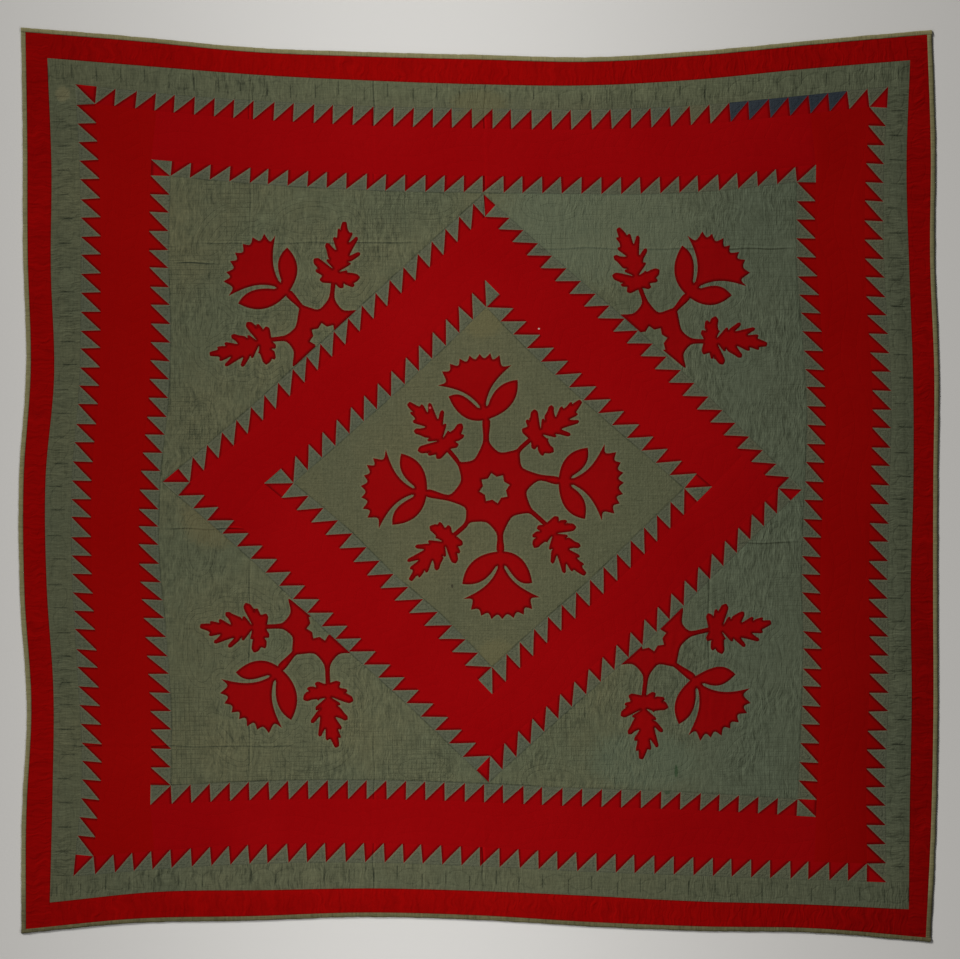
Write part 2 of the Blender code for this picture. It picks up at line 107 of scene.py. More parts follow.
# Sawtooth squares in a side, without the corner squares.
TEETH = {
    "frame_outer_sawtooth": {"top": 39, "right": 40, "bottom": 40, "left": 40},
    "frame_inner_sawtooth": {"top": 32, "right": 33, "bottom": 32, "left": 33},
    "diamond_outer_sawtooth": {"ne": 21, "se": 21, "sw": 21, "nw": 21},
    "diamond_inner_sawtooth": {"ne": 14, "se": 14, "sw": 14, "nw": 14},
}
# The maker ran out of green: these triangles of one strip are blue.
BLUE_TEETH = ("frame_outer_sawtooth", "top", 32, 37)

# --------------------------------------------------------------- appliques
FAN_R = 106.0           # radius of a coxcomb's fan to its tips
FAN_HALF = 58.5         # half of the fan's opening angle
FAN_NOTCH = 12.5        # depth of the notches along its edge
# (tip's angle in parts of the fan's half angle, its reach in parts of FAN_R)
FAN_EDGE = ((-1.0, 1.0), (-0.69, 1.045), (-0.47, 1.025), (-0.24, 0.995), (0.0, 0.985),
            (0.24, 0.99), (0.48, 1.02), (0.71, 1.04), (1.0, 1.0))
STAR_OUT = 36.0         # star cut-out, to its points
STAR_IN = 27.0          # star cut-out, to its valleys
STAR_TURN = 12.0
# (motif, centre x, centre y, axis angle, fan's lift, left leaf's reach and
#  tip height, right leaf's reach and tip height, depth of the neck)
FLOWERS = (
    ("centre", 5, 200, 105, 3, 72, 27, 94, 23, 50),
    ("centre", 244, 8, -1.5, -9, 80, 8, 87, 6, 60),
    ("centre", 52, -217, -88, -9, 72, 14, 92, 11, 64),
    ("centre", -172, -13, 175, 0, 82, 24, 86, 18, 52),
    ("tl", -486, 481, 142, -1, 92, 27, 82, 17, 52),
    ("tr", 520, 481, 49.5, 3, 86, 31, 78, 18, 52),
    ("br", 527, -485, -53.5, 1, 84, 9, 92, 24, 45),
    ("bl", -494, -464, -129, 4, 96, 32, 75, 27, 48),
)
# (motif, base x, base y, length, angle, hand, width in parts of the pattern's)
OAK_LEAVES = (
    ("centre", 117, 106, 152, 37, 1, 0.93), ("centre", -70.5, 80.5, 147, 130.5, 1, 1.02),
    ("centre", 157, -88, 152, -53, 1, 0.93), ("centre", -58.5, -114, 150, -133.5, 1, 0.91),
    ("tl", -343, 471, 148, 79, 1, 0.98), ("tl", -485, 343, 150, -166, -1, 0.93),
    ("tr", 377, 459, 152, 110, 1, 0.92), ("tr", 524, 337, 150, -3, -1, 0.95),
    ("br", 536, -336, 148, 6, 1, 1.0), ("br", 384, -491, 150, -92, -1, 0.97),
    ("bl", -496, -332, 157, 179, -1, 0.93), ("bl", -356, -463, 152, -81, 1, 0.97),
)
# The lobes up the two sides of an oak leaf, in parts of its length:
# (notch below: along, off the rib, lobe's tip: along, off the rib, width)
OAK_LOBES = (
    ((0.000, 0.045, 0.025, 0.225, 0.105), (0.105, 0.205, 0.170, 0.290, 0.060),
     (0.190, 0.285, 0.330, 0.365, 0.110), (0.235, 0.040, 0.365, 0.150, 0.055),
     (0.400, 0.155, 0.610, 0.225, 0.085), (0.540, 0.045, 0.725, 0.110, 0.065),
     (0.770, 0.075, 0.870, 0.075, 0.045), (0.895, 0.045, 1.000, 0.000, 0.060)),
    ((0.000, 0.045, -0.030, 0.185, 0.095), (0.015, 0.220, 0.035, 0.340, 0.070),
     (0.085, 0.340, 0.185, 0.415, 0.110), (0.220, 0.280, 0.255, 0.185, 0.055),
     (0.220, 0.070, 0.375, 0.230, 0.055), (0.415, 0.235, 0.560, 0.335, 0.060),
     (0.505, 0.190, 0.790, 0.258, 0.058), (0.690, 0.135, 0.855, 0.145, 0.065),
     (0.885, 0.080, 1.000, 0.000, 0.058)),
)
MEDALLIONS = {"centre": (36, -7), "tl": (-361, 344), "tr": (405, 337),
              "br": (402, -353), "bl": (-368, -328)}
THROAT_HALF = 5.5       # half the width of an arm at its throat
NECK_HALF = 11.0        # half the width of a flower's neck
BODY_REACH = 106.0      # a half medallion's reach along the diamond's edge
# (motif, goes to, which, throat angle, throat distance,
#  first corner angle, distance, second corner angle, distance)
ARMS = (
    ("centre", "flower", 1, 14, 108, -6, 72, 37, 78),
    ("centre", "oak", 0, 57, 112, 54, 100, 60, 104),
    ("centre", "flower", 0, 100.5, 110, 82, 82, 126, 80),
    ("centre", "oak", 1, 143, 112, 143, 100, 149, 98),
    ("centre", "flower", 3, 193, 108, 168, 78, 214, 80),
    ("centre", "oak", 3, 232, 112, 227, 98, 234, 98),
    ("centre", "flower", 2, 277, 108, 257, 80, 302, 76),
    ("centre", "oak", 2, 327, 112, 324, 98, 332, 96),
    ("tl", "oak", 4, 80, 93, 56, 76, 102, 66),
    ("tl", "flower", 4, 127, 92, 120, 86, 134, 88),
    ("tl", "oak", 5, 180, 91, 160, 72, 203, 77),
    ("tr", "oak", 7, 0, 91, -23, 77, 20, 72),
    ("tr", "flower", 5, 54, 92, 47, 88, 61, 86),
    ("tr", "oak", 6, 100, 93, 78, 66, 124, 76),
    ("br", "oak", 9, -97, 93, -123, 76, -76, 66),
    ("br", "flower", 6, -50, 88, -57, 84, -43, 84),
    ("br", "oak", 8, 3, 91, -19, 72, 23, 77),
    ("bl", "oak", 10, 181, 91, 157, 77, 201, 72),
    ("bl", "flower", 7, 225, 92, 218, 88, 232, 86),
    ("bl", "oak", 11, 278, 93, 256, 66, 302, 76),
)
# Ovals quilted into the corner triangles. (corner, x, y, half length, half
# width, angle of the long axis)
QUILTED_OVALS = (
    ("tl", -655, 395, 62, 20, 88), ("tl", -610, 590, 58, 20, 50), ("tl", -395, 620, 58, 19, 5),
    ("tl", -120, 660, 48, 15, 0), ("tl", -650, 130, 50, 15, 88),
    ("tr", 660, 420, 60, 20, 92), ("tr", 620, 590, 58, 20, 128), ("tr", 430, 620, 58, 19, 176),
    ("tr", 170, 655, 48, 15, 0), ("tr", 690, 150, 50, 15, 90),
    ("br", 665, -430, 60, 20, 88), ("br", 600, -610, 58, 20, 48), ("br", 420, -640, 58, 19, 4),
    ("br", 170, -690, 46, 14, 0), ("br", 700, -160, 50, 15, 90),
    ("bl", -650, -390, 60, 20, 92), ("bl", -590, -590, 58, 20, 130), ("bl", -390, -630, 58, 19, 0),
    ("bl", -130, -665, 46, 14, 0), ("bl", -655, -140, 50, 15, 90),
)
# Old fold lines. (runs along, at, from, to, depth mm, width mm)
FOLDS = (
    ("y", 12, 600, 1000, 0.5, 7), ("y", -247, 690, 1000, 0.45, 6),
    ("y", -537, 560, 1000, 0.34, 6), ("y", 536, -460, -180, 0.55, 6),
    ("y", -537, -700, -160, 0.45, 7), ("y", -247, -1020, -560, 0.35, 7),
    ("y", 7, -960, -760, 0.5, 6), ("x", 566, -680, -120, 0.38, 6),
    ("x", 553, 120, 760, 0.5, 6), ("x", 519, -725, -600, 1.0, 6),
    ("x", -102, -760, -520, 0.6, 7), ("x", -135, 600, 770, 0.5, 7),
    ("x", -610, -1000, -400, 0.35, 8),
)
# Old marks: where they are, half width, half height, linear colour, strength
MARKS = (
    ("border", -974, 915, 19, 20, (0.165, 0.150, 0.080), 0.55),
    ("border", 0, 892, 75, 38, (0.114, 0.103, 0.047), 0.45),
    ("saw", 0, 862, 65, 28, (0.104, 0.093, 0.042), 0.50),
    ("saw", 505, 868, 40, 28, (0.108, 0.097, 0.044), 0.40),
    ("ground", 270, 610, 260, 160, (0.110, 0.134, 0.087), 0.44),
    ("ground", -620, -80, 85, 75, (0.120, 0.103, 0.048), 0.50),
    ("ground", 385, -645, 140, 80, (0.084, 0.114, 0.076), 0.42),
    ("centre", 8, 385, 55, 45, (0.118, 0.106, 0.049), 0.55),
    ("centre", 40, -395, 50, 40, (0.118, 0.107, 0.050), 0.50),
    ("ground", 461, -669, 4.5, 17, (0.022, 0.050, 0.020), 0.75),
    ("saw", 440, -718, 8, 6, (0.024, 0.050, 0.024), 0.6),
    ("centre", -63, -236, 3.2, 5, (0.024, 0.020, 0.014), 0.75),
    ("band", 140, 366, 2.6, 2.2, (0.50, 0.42, 0.36), 0.8),
    ("motif", -115, 181, 3.0, 3.0, (0.52, 0.09, 0.10), 0.6),
)


# ---------------------------------------------------------------- small maths
def value_noise(x, y, seed):
    """Smooth noise from -1 to 1 over lattice cells of size 1."""
    table = np.random.default_rng(seed).random((97, 89)) * 2 - 1
    xi, yi = np.floor(x).astype(int), np.floor(y).astype(int)
    fx, fy = x - xi, y - yi
    fx, fy = fx * fx * (3 - 2 * fx), fy * fy * (3 - 2 * fy)

    def at(i, j):
        return table[(xi + i) % 97, (yi + j) % 89]

    low = at(0, 0) * (1 - fx) + at(1, 0) * fx
    high = at(0, 1) * (1 - fx) + at(1, 1) * fx
    return low * (1 - fy) + high * fy


def smooth_at(values, t):
    """A smooth curve through evenly spaced values, read at t from 0 to 1."""
    v = np.array([2 * values[0] - values[1], *values, 2 * values[-1] - values[-2]], float)
    n = len(values) - 1
    x = np.clip(t, 0.0, 1.0) * n
    i = np.minimum(x.astype(int), n - 1)
    f = x - i
    p0, p1, p2, p3 = v[i], v[i + 1], v[i + 2], v[i + 3]
    return 0.5 * (2 * p1 + (p2 - p0) * f + (2 * p0 - 5 * p1 + 4 * p2 - p3) * f * f
                  + (3 * p1 - p0 - 3 * p2 + p3) * f ** 3)


class Seam:
    """A seam from a to b, bowed sideways; outwards is to its left."""

    def __init__(self, a, b, bows):
        self.a = np.array(a, float)
        self.d = np.array(b, float) - self.a
        self.out = np.array((-self.d[1], self.d[0])) / np.hypot(*self.d)
        self.values = [0.0, *bows, 0.0]

    def at(self, t):
        t = np.atleast_1d(np.asarray(t, float))
        return self.a + self.d * t[:, None] + self.out * smooth_at(self.values, t)[:, None]

    def foot(self, p):
        """Where on the seam, from 0 to 1, p is nearest to it."""
        t = np.linspace(0, 1, 6001)
        return float(t[np.argmin(((self.at(t) - p) ** 2).sum(1))])


class Path:
    """A line of points, read by the part of its length that is behind."""

    def __init__(self, points):
        self.p = np.asarray(points, float)
        steps = np.hypot(*np.diff(self.p, axis=0).T)
        self.s = np.concatenate(((0.0,), np.cumsum(steps)))
        self.length = float(self.s[-1])

    def at(self, f):
        s = np.asarray(f, float) * self.length
        return np.stack((np.interp(s, self.s, self.p[:, 0]), np.interp(s, self.s, self.p[:, 1])), -1)

    def part_at(self, p):
        """The part of the length behind the point nearest to p."""
        return float(self.s[np.argmin(((self.p - p) ** 2).sum(1))] / self.length)


def bows_of(table, name, side):
    return next(row[2:] for row in table if row[0] == name and row[1] == side)


def mitred(corners, width):
    """Corners moved inwards, clockwise ring."""
    moved = []
    for k in range(4):
        a, p, b = (np.array(corners[(k + j) % 4], float) for j in (-1, 0, 1))
        u, v = (p - a) / np.hypot(*(p - a)), (b - p) / np.hypot(*(b - p))
        nu, nv = np.array((u[1], -u[0])), np.array((v[1], -v[0]))
        moved.append(tuple(p + (nu + nv) * width / (1 + nu @ nv)))
    return tuple(moved)


SEAMS = {}
for ring, corners in FRAME_CORNERS.items():
    table = ring[:-2] if ring.startswith("saw") else ring
    SEAMS[ring] = {s: Seam(corners[i], corners[j], bows_of(FRAME_BOWS, table, s))
                   for s, (i, j) in FRAME_SIDES.items()}
inner_corners = mitred(FRAME_CORNERS["edge"], BINDING_W)
SEAMS["binding"] = {s: Seam(inner_corners[i], inner_corners[j], bows_of(FRAME_BOWS, "edge", s))
                    for s, (i, j) in FRAME_SIDES.items()}
for ring, corners in DIAMOND_CORNERS.items():
    SEAMS[ring] = {s: Seam(corners[i], corners[j], bows_of(DIAMOND_BOWS, ring, s))
                   for s, (i, j) in DIAMOND_SIDES.items()}

# The CAD frame's origin in the plan: the middle of the quilt's rectangle.
STATIONS = {"top": 8, "right": 16, "bottom": 8, "left": 16}
rim = np.vstack([SEAMS["edge"][s].at(np.linspace(0, 1, n + 1)) for s, n in STATIONS.items()])
MIDDLE = (rim.min(0) + rim.max(0)) / 2


def plan(xy):
    return (np.asarray(xy, float) - MIDDLE) * MM


# ------------------------------------------------------------------- relief
def swell(x, y):
    """The batting's broad unevenness and the cloth's slight waves, mm."""
    return (0.40 * value_noise(x / 130, y / 130, 3) + 0.25 * value_noise(x / 52, y / 60, 4)
            + 0.12 * value_noise(x / 24, y / 27, 5))


def filled(d):
    """How full the batting is at a distance d from the nearest seam, 0 to 1."""
    return 1.0 - np.exp(-np.maximum(d, 0.0) / SEAM_RUN)


def groove(d, width):
    return np.exp(-(d / width) ** 2)


def old_folds(x, y):
    z = np.zeros_like(x)
    for k, (way, at, lo, hi, depth, width) in enumerate(FOLDS):
        a, b = (x, y) if way == "y" else (y, x)
        wander = 3.0 * value_noise(b / 90, b * 0, 40 + k)
        ends = np.clip((b - lo) / 60, 0, 1) * np.clip((hi - b) / 60, 0, 1)
        z += depth * ends * (0.7 * groove(a - at - wander - 5, 6) - groove(a - at - wander, width * 0.6))
    return z


def cable(u, v, w):
    """Distance to a chain of ovals quilted along a strip of width w."""
    half = 0.30 * w * np.abs(np.sin(math.pi * u / LINK)) ** 0.6
    return np.abs(np.abs(v - 0.5 * w) - half)


def feather(u, v, w):
    """Distance to the spine and lobes of a feather quilted along a band."""
    spine = 0.5 * w + 0.13 * w * np.sin(2 * math.pi * u / 330)
    off = v - spine
    d = np.abs(off)
    lean = (u - 0.55 * np.abs(off)) / 27.0
    rib = np.abs(lean - np.round(lean)) * 24.0
    d = np.minimum(d, np.where(np.abs(off) < 0.34 * w, rib, 99.0))
    rim = 0.31 * w + 0.035 * w * np.abs(np.sin(math.pi * lean))
    return np.minimum(d, np.abs(np.abs(off) - rim))


# ------------------------------------------------------------------- meshes
def build(name, xyz, faces, marks, slots, uv=None, floats=None):
    """A mesh object from plan points with heights, in mm, and index faces."""
    mesh = bpy.data.meshes.new(name)
    xyz = np.asarray(xyz, float)
    co = np.column_stack((plan(xyz[:, :2]), xyz[:, 2] * MM)).astype(np.float32)
    sizes = np.array([len(f) for f in faces], np.int32)
    loops = np.concatenate([np.asarray(f, np.int32) for f in faces])
    mesh.vertices.add(len(co))
    mesh.vertices.foreach_set("co", co.ravel())
    mesh.loops.add(len(loops))
    mesh.loops.foreach_set("vertex_index", loops)
    mesh.polygons.add(len(sizes))
    mesh.polygons.foreach_set("loop_start", np.concatenate(((0,), np.cumsum(sizes)[:-1])).astype(np.int32))
    mesh.polygons.foreach_set("material_index", np.asarray(marks, np.int32))
    mesh.update(calc_edges=True)
    if uv is not None:
        layer = mesh.uv_layers.new(name="lane")
        layer.data.foreach_set("uv", np.asarray(uv, np.float32)[loops].ravel())
    for key, values in (floats or {}).items():
        a = mesh.attributes.new(key, "FLOAT", "POINT")
        a.data.foreach_set("value", np.asarray(values, np.float32))
    for m in slots:
        mesh.materials.append(m)
    mesh.validate()
    mesh.shade_smooth()
    mesh.set_sharp_from_angle(angle=math.radians(62))
    obj = bpy.data.objects.new(name, mesh)
    bpy.context.scene.collection.objects.link(obj)
    return obj


def area_of(points):
    x, y = np.asarray(points, float).T
    return 0.5 * abs(np.dot(x, np.roll(y, -1)) - np.dot(y, np.roll(x, -1)))


def declare(obj, node, width, length, area, rests_on=()):
    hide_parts(node)
    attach(obj, "root")
    # The quilting takes up a little of every cut piece.
    cut = min(area * 1.015, 0.999 * width * length)
    width * MM
    length * MM
    cut * MM * MM


def closed_grid(name, grid, z, slots, marks=None, diagonals=None, uv=None, floats=None):
    """A closed thin body: its face is a grid, its underside is flat at 0."""
    n, m = grid.shape[0], grid.shape[1]
    index = np.arange(n * m).reshape(n, m)
    top = np.column_stack((grid.reshape(-1, 2), z.ravel()))
    rim = np.concatenate((index[:, 0], index[-1, 1:], index[-2::-1, -1], index[0, -2:0:-1]))
    low = np.arange(len(rim)) + n * m
    bottom = np.column_stack((top[rim, :2], np.zeros(len(rim))))
    a, b, c, d = index[:-1, :-1], index[1:, :-1], index[1:, 1:], index[:-1, 1:]
    # a grid whose face turns down is laid the other way round
    p, q, r = grid[0, 0], grid[1, 0], grid[0, 1]
    up = np.cross(q - p, r - p) > 0
    faces, mark = [], []
    if diagonals is None:
        quads = np.stack((a, b, c, d), -1).reshape(-1, 4)
        quads = quads if up else quads[:, ::-1]
        faces += list(quads)
        mark += list(np.zeros(len(quads), int) if marks is None else marks)
    else:
        one = np.where(diagonals[..., None], np.stack((a, b, c), -1), np.stack((a, b, d), -1))
        two = np.where(diagonals[..., None], np.stack((a, c, d), -1), np.stack((b, c, d), -1))
        tris = np.stack((one, two), 2).reshape(-1, 3)
        tris = tris if up else tris[:, ::-1]
        faces += list(tris)
        mark += list(marks)
    k = len(rim)
    nxt = (np.arange(k) + 1) % k
    sides = np.stack((rim, low, low[nxt], rim[nxt]), -1)
    sides = sides if up else sides[:, ::-1]
    faces += list(sides)
    back = len(slots) - 1
    mark += [back if slots[0] is slots[back] else 0] * k
    # underside: quads between the two long sides, with end strips
    below = {int(t): int(l) for t, l in zip(rim, low)}
    first, last = index[:, 0], index[:, -1]
    for i in range(n - 1):
        ring = [below[int(first[i])], below[int(first[i + 1])]]
        if i == n - 2:
            ring += [below[int(v)] for v in index[-1, 1:-1]]
        ring += [below[int(last[i + 1])], below[int(last[i])]]
        if i == 0:
            ring += [below[int(v)] for v in index[0, -2:0:-1]]
        faces.append(np.array(ring[::-1] if up else ring))
        mark.append(back)
    full = np.vstack((top, bottom))
    if uv is not None:
        flat = uv.reshape(-1, 2)
        uv = np.vstack((flat, flat[rim]))
    more = {key: np.concatenate((v.ravel(), v.ravel()[rim])) for key, v in (floats or {}).items()}
    return build(name, full, faces, mark, slots, uv, more)


def coons(inner, outer, start, end):
    """A grid between four sides: inner and outer run along, start and end
    from the inner side to the outer one."""
    s = np.linspace(0, 1, len(inner))[:, None, None]
    v = (np.hypot(*(start - start[0]).T) / np.hypot(*(start[-1] - start[0])))[None, :, None]
    ruled = inner[:, None] * (1 - v) + outer[:, None] * v
    sides = start[None] * (1 - s) + end[None] * s
    corners = ((start[0] * (1 - s) + end[0] * s) * (1 - v) + (start[-1] * (1 - s) + end[-1] * s) * v)
    return ruled + sides - corners


def strip_sides(outer, inner, sides, side, full):
    """Paths of a strip's inner, outer, start and end sides."""
    order = list(sides)
    k = order.index(side)
    o, i = SEAMS[outer][side], SEAMS[inner][side]
    before, after = SEAMS[outer][order[k - 1]], SEAMS[outer][order[(k + 1) % 4]]
    a, b = i.at(0)[0], i.at(1)[0]
    t = np.linspace(0, 1, 900)
    if full:
        ta, tb = before.foot(a), after.foot(b)
        inside = np.vstack((before.at(ta), i.at(t), after.at(tb)))
        outside = o.at(t)
        start = before.at(np.linspace(ta, 1, 60))
        end = after.at(np.linspace(tb, 0, 60))
    else:
        inside = i.at(t)
        outside = o.at(np.linspace(o.foot(a), o.foot(b), 900))
        start = np.linspace(inside[0], outside[0], 60)
        end = np.linspace(inside[-1], outside[-1], 60)
    return Path(inside), Path(outside), Path(start), Path(end)


def long_panel(name, outer, inner, sides, side, full, slots, relief, seed):
    """A plain strip between two seam rings."""
    inside, outside, start, end = strip_sides(outer, inner, sides, side, full)
    n = int(round(0.5 * (inside.length + outside.length) / CELL)) + 1
    width = 0.5 * (start.length + end.length)
    m = max(6, int(round(width / CELL))) + 1
    f, g = np.linspace(0, 1, n), np.linspace(0, 1, m)
    grid = coons(inside.at(f), outside.at(f), start.at(g), end.at(g))
    across = np.hypot(*(grid[:, -1] - grid[:, 0]).T)[:, None]
    u = np.broadcast_to(f[:, None] * 0.5 * (inside.length + outside.length), (n, m))
    v = g[None] * across
    d = np.minimum(np.minimum(v, across - v), np.minimum(u, u[-1:] - u))
    x, y = grid[..., 0], grid[..., 1]
    full_here = filled(d)
    z = SEAM_Z + (CROWN_Z - SEAM_Z) * full_here
    z = z + full_here * (swell(x, y) + relief(u, v, across, seed)) + old_folds(x, y)
    obj = closed_grid(name + "_cloth", grid, np.maximum(z, 1.0), slots,
                      uv=np.stack((u * MM, v * MM), -1),
                      floats={"edge": d * MM, "across": np.broadcast_to(across, (n, m)) * MM})
    ring = np.vstack((inside.p, outside.p[::-1]))
    declare(obj, name, width * 1.05, max(inside.length, outside.length) * 1.01, area_of(ring))
    return obj


def saw_strip(name, outer, inner, sides, side, full, teeth, slots, outer_row, seed):
    """A strip of half-square triangles. Round the ring every square is cut
    by the diagonal from its inner start to its outer end."""
    inside, outside, start, end = strip_sides(outer, inner, sides, side, full)
    o, i = SEAMS[outer][side], SEAMS[inner][side]
    m = SAW_CELLS
    rng = np.random.default_rng(seed)
    even = np.linspace(0, 1, teeth + 1)
    if full:
        lo_i, hi_i = inside.part_at(i.at(0)[0]), inside.part_at(i.at(1)[0])
        lo_o = outside.part_at(o.at(o.foot(i.at(0)[0]))[0])
        hi_o = outside.part_at(o.at(o.foot(i.at(1)[0]))[0])
    else:
        lo_i, hi_i, lo_o, hi_o = 0.0, 1.0, 0.0, 1.0
    loose = np.concatenate(((0.0,), np.ones(teeth - 1), (0.0,)))
    common = rng.normal(0, 0.9, teeth + 1) * loose
    units_i = lo_i + (hi_i - lo_i) * even + (common + rng.normal(0, 0.5, teeth + 1) * loose) / inside.length
    units_o = lo_o + (hi_o - lo_o) * even + (common + rng.normal(0, 0.5, teeth + 1) * loose) / outside.length
    kinds = [0] * teeth
    if full:
        units_i = np.concatenate(((0.0,), units_i, (1.0,)))
        units_o = np.concatenate(((0.0,), units_o, (1.0,)))
        kinds = [1] + kinds + [0]
    count = len(kinds)
    f = np.arange(count * m + 1) / m
    fi, fo = np.interp(f, np.arange(count + 1), units_i), np.interp(f, np.arange(count + 1), units_o)
    g = np.linspace(0, 1, m + 1)
    grid = coons(inside.at(fi), outside.at(fo), start.at(g), end.at(g))
    n = len(f)
    across = np.hypot(*(grid[:, -1] - grid[:, 0]).T)[:, None]
    a = (f - np.floor(f))[:, None] + 0 * g[None]
    b = g[None] + 0 * f[:, None]
    unit = np.minimum(np.floor(f).astype(int), count - 1)
    flip = np.array(kinds)[unit][:, None]
    side_len = across
    slant = np.where(flip == 1, np.abs(a + b - 1), np.abs(a - b)) / math.sqrt(2)
    # a column on the border of two squares belongs to both
    slant = np.where((a < 1e-6), 0.0, slant)
    cut = np.minimum(np.minimum(a, 1 - a), slant) * side_len
    d = np.minimum(np.minimum(b, 1 - b) * side_len, cut)
    x, y = grid[..., 0], grid[..., 1]
    puff = filled(d * 1.15)
    z = SEAM_Z + (CROWN_Z - SEAM_Z + 0.1) * puff + puff * 0.8 * swell(x, y) + old_folds(x, y)
    z = z + puff * 0.25 * value_noise(x / 9, y / 9, seed + 7)
    # halves: 0 is the half at the square's outer start, 1 at its inner end
    ci, cj = np.arange(count * m) % m, np.arange(m)
    cell_flip = np.repeat(np.array(kinds), m)
    low_half = np.zeros((count * m, m, 2), int)
    for col in range(count * m):
        for row in range(m):
            p, q = ci[col], cj[row]
            if cell_flip[col] == 0:
                halves = (1, 1) if p > q else (0, 0) if p < q else (1, 0)
            else:
                s = p + q
                halves = (0, 0) if s < m - 1 else (1, 1) if s > m - 1 else (0, 1)
            low_half[col, row] = halves
    # slots: green, red, blue, back
    outer_half, inner_half = (0, 1) if outer_row else (1, 0)
    marks = np.where(low_half == 0, outer_half, inner_half)
    if BLUE_TEETH[0] == name.rsplit("_", 1)[0] and BLUE_TEETH[1] == side:
        first = BLUE_TEETH[2] + (1 if full else 0)
        last = BLUE_TEETH[3] + (1 if full else 0)
        span = slice(first * m, (last + 1) * m)
        marks[span] = np.where(marks[span] == 0, 2, marks[span])
    diagonals = np.broadcast_to(cell_flip[:, None] == 0, (count * m, m))
    u = np.broadcast_to((f / count * 0.5 * (inside.length + outside.length))[:, None], (n, m + 1))
    obj = closed_grid(name + "_cloth", grid, z, slots, marks=marks.reshape(-1), diagonals=diagonals,
                      uv=np.stack((u * MM, b * across * MM), -1), floats={"edge": d * MM, "cut": cut * MM})
    ring = np.vstack((inside.p, outside.p[::-1]))
    declare(obj, name, np.mean(across) * 1.08, max(inside.length, outside.length) * 1.01,
            area_of(ring))
    return obj


def nearest(points, targets, block=1500):
    """Distance from each point to the nearest of the targets."""
    out = np.empty(len(points))
    for k in range(0, len(points), block):
        p = points[k:k + block]
        d2 = ((p[:, None, 0] - targets[None, :, 0]) ** 2
              + (p[:, None, 1] - targets[None, :, 1]) ** 2)
        out[k:k + block] = np.sqrt(d2.min(1))
    return out


def dense(loop, step=1.0):
    """Points every step along a closed outline."""
    loop = np.asarray(loop, float)
    path = Path(np.vstack((loop, loop[:1])))
    n = max(8, int(path.length / step))
    return path.at(np.arange(n) / n)


def inside(points, loop):
    hit = np.zeros(len(points), bool)
    a = np.asarray(loop, float)
    b = np.roll(a, -1, 0)
    x, y = points[:, 0], points[:, 1]
    for (ax, ay), (bx, by) in zip(a, b):
        if ay != by:
            crosses = (ay > y) != (by > y)
            hit ^= crosses & (x < ax + (bx - ax) * (y - ay) / (by - ay))
    return hit


# ---------------------------------------------------------- ground panels
def ground_relief(x, y, echo, where):
    """What quilting and handling do to the face of a green panel, mm."""
    if where == "centre":
        hatch = groove(np.abs(((x + 4) % 22) - 11), 2.6) + groove(np.abs(((y + 3) % 22) - 11), 2.6)
        return -0.10 * hatch + 0.16 * value_noise(x / 17, y / 17, 51)
    upright = value_noise(x / 8.5 + 0.6 * value_noise(x / 30, y / 30, 52), y / 36, 53)
    finer = value_noise(x / 6.0, y / 22, 54)
    ring = np.abs((echo / 12.0) - np.round(echo / 12.0)) * 12.0
    lines = np.where(echo < 64, groove(ring, 2.8), 0.0)
    return 0.34 * upright + 0.15 * finer - 0.22 * lines


def ground_height(xy, loop_points, echo, where):
    x, y = xy[:, 0], xy[:, 1]
    d = nearest(xy, loop_points)
    full = filled(d)
    z = SEAM_Z + (CROWN_Z - SEAM_Z) * full
    return z + full * (swell(x, y) + ground_relief(x, y, echo, where)) + old_folds(x, y), d


def bezier(points, steps):
    t = np.linspace(0, 1, steps)[:, None]
    p = [np.array(v, float) for v in points]
    while len(p) > 1:
        p = [a * (1 - t) + b * t for a, b in zip(p, p[1:])]
    return p[0]


def flower(x, y, axis, lift, left, left_tip, right, right_tip, neck, rng):
    """A coxcomb: a fan with a notched edge and two leaves below it."""
    half, n = math.radians(FAN_HALF), len(FAN_EDGE)
    tips = half * np.array([a for a, _ in FAN_EDGE]) + rng.normal(0, 0.018, n)
    reach = FAN_R * np.array([r for _, r in FAN_EDGE]) + rng.normal(0, 1.4, n)
    edge = []
    for k in range(n - 1):
        depth = FAN_NOTCH * (1.35 if k in (0, n - 2) else rng.uniform(0.85, 1.15))
        for s in np.linspace(0, 1, 9)[:-1]:
            a = tips[k] + (tips[k + 1] - tips[k]) * s
            r = reach[k] + (reach[k + 1] - reach[k]) * s - depth * math.sin(math.pi * s) ** 1.1
            edge.append((r * math.sin(a), r * math.cos(a) + lift))
    edge.append((reach[-1] * math.sin(tips[-1]), reach[-1] * math.cos(tips[-1]) + lift))
    base = lift * 0.9 - 15
    one = bezier(((-8, base), (-25, base + 38), (-52, 38 + lift), edge[0]), 16)[:-1]
    two = bezier((edge[-1], (52, 38 + lift), (25, base + 38), (8, base)), 16)[1:]
    shapes = [np.vstack(((-8, base - 22), one, edge, two, (8, base - 22)))]
    for sign, out, tip in ((-1, left, left_tip), (1, right, right_tip)):
        upper = bezier(((13, base - 3), (30, base + 24), (out * 0.58, tip + 7), (out, tip)), 16)
        lower = bezier(((out, tip), (out * 0.95, tip - 33), (out * 0.74, 7 - neck), (9.5, 2 - neck)), 18)
        leaf = np.vstack(((0, base - 10), upper, lower[1:], (0, -neck)))
        shapes.append(leaf * (sign, 1))
    return [turned(s, x, y, axis) for s in shapes]


def turned(points, x, y, axis):
    """Local points, whose +Y runs along axis, set at x, y."""
    a = math.radians(axis - 90)
    c, s = math.cos(a), math.sin(a)
    p = np.asarray(points, float)
    return np.column_stack((x + p[:, 0] * c - p[:, 1] * s, y + p[:, 0] * s + p[:, 1] * c))


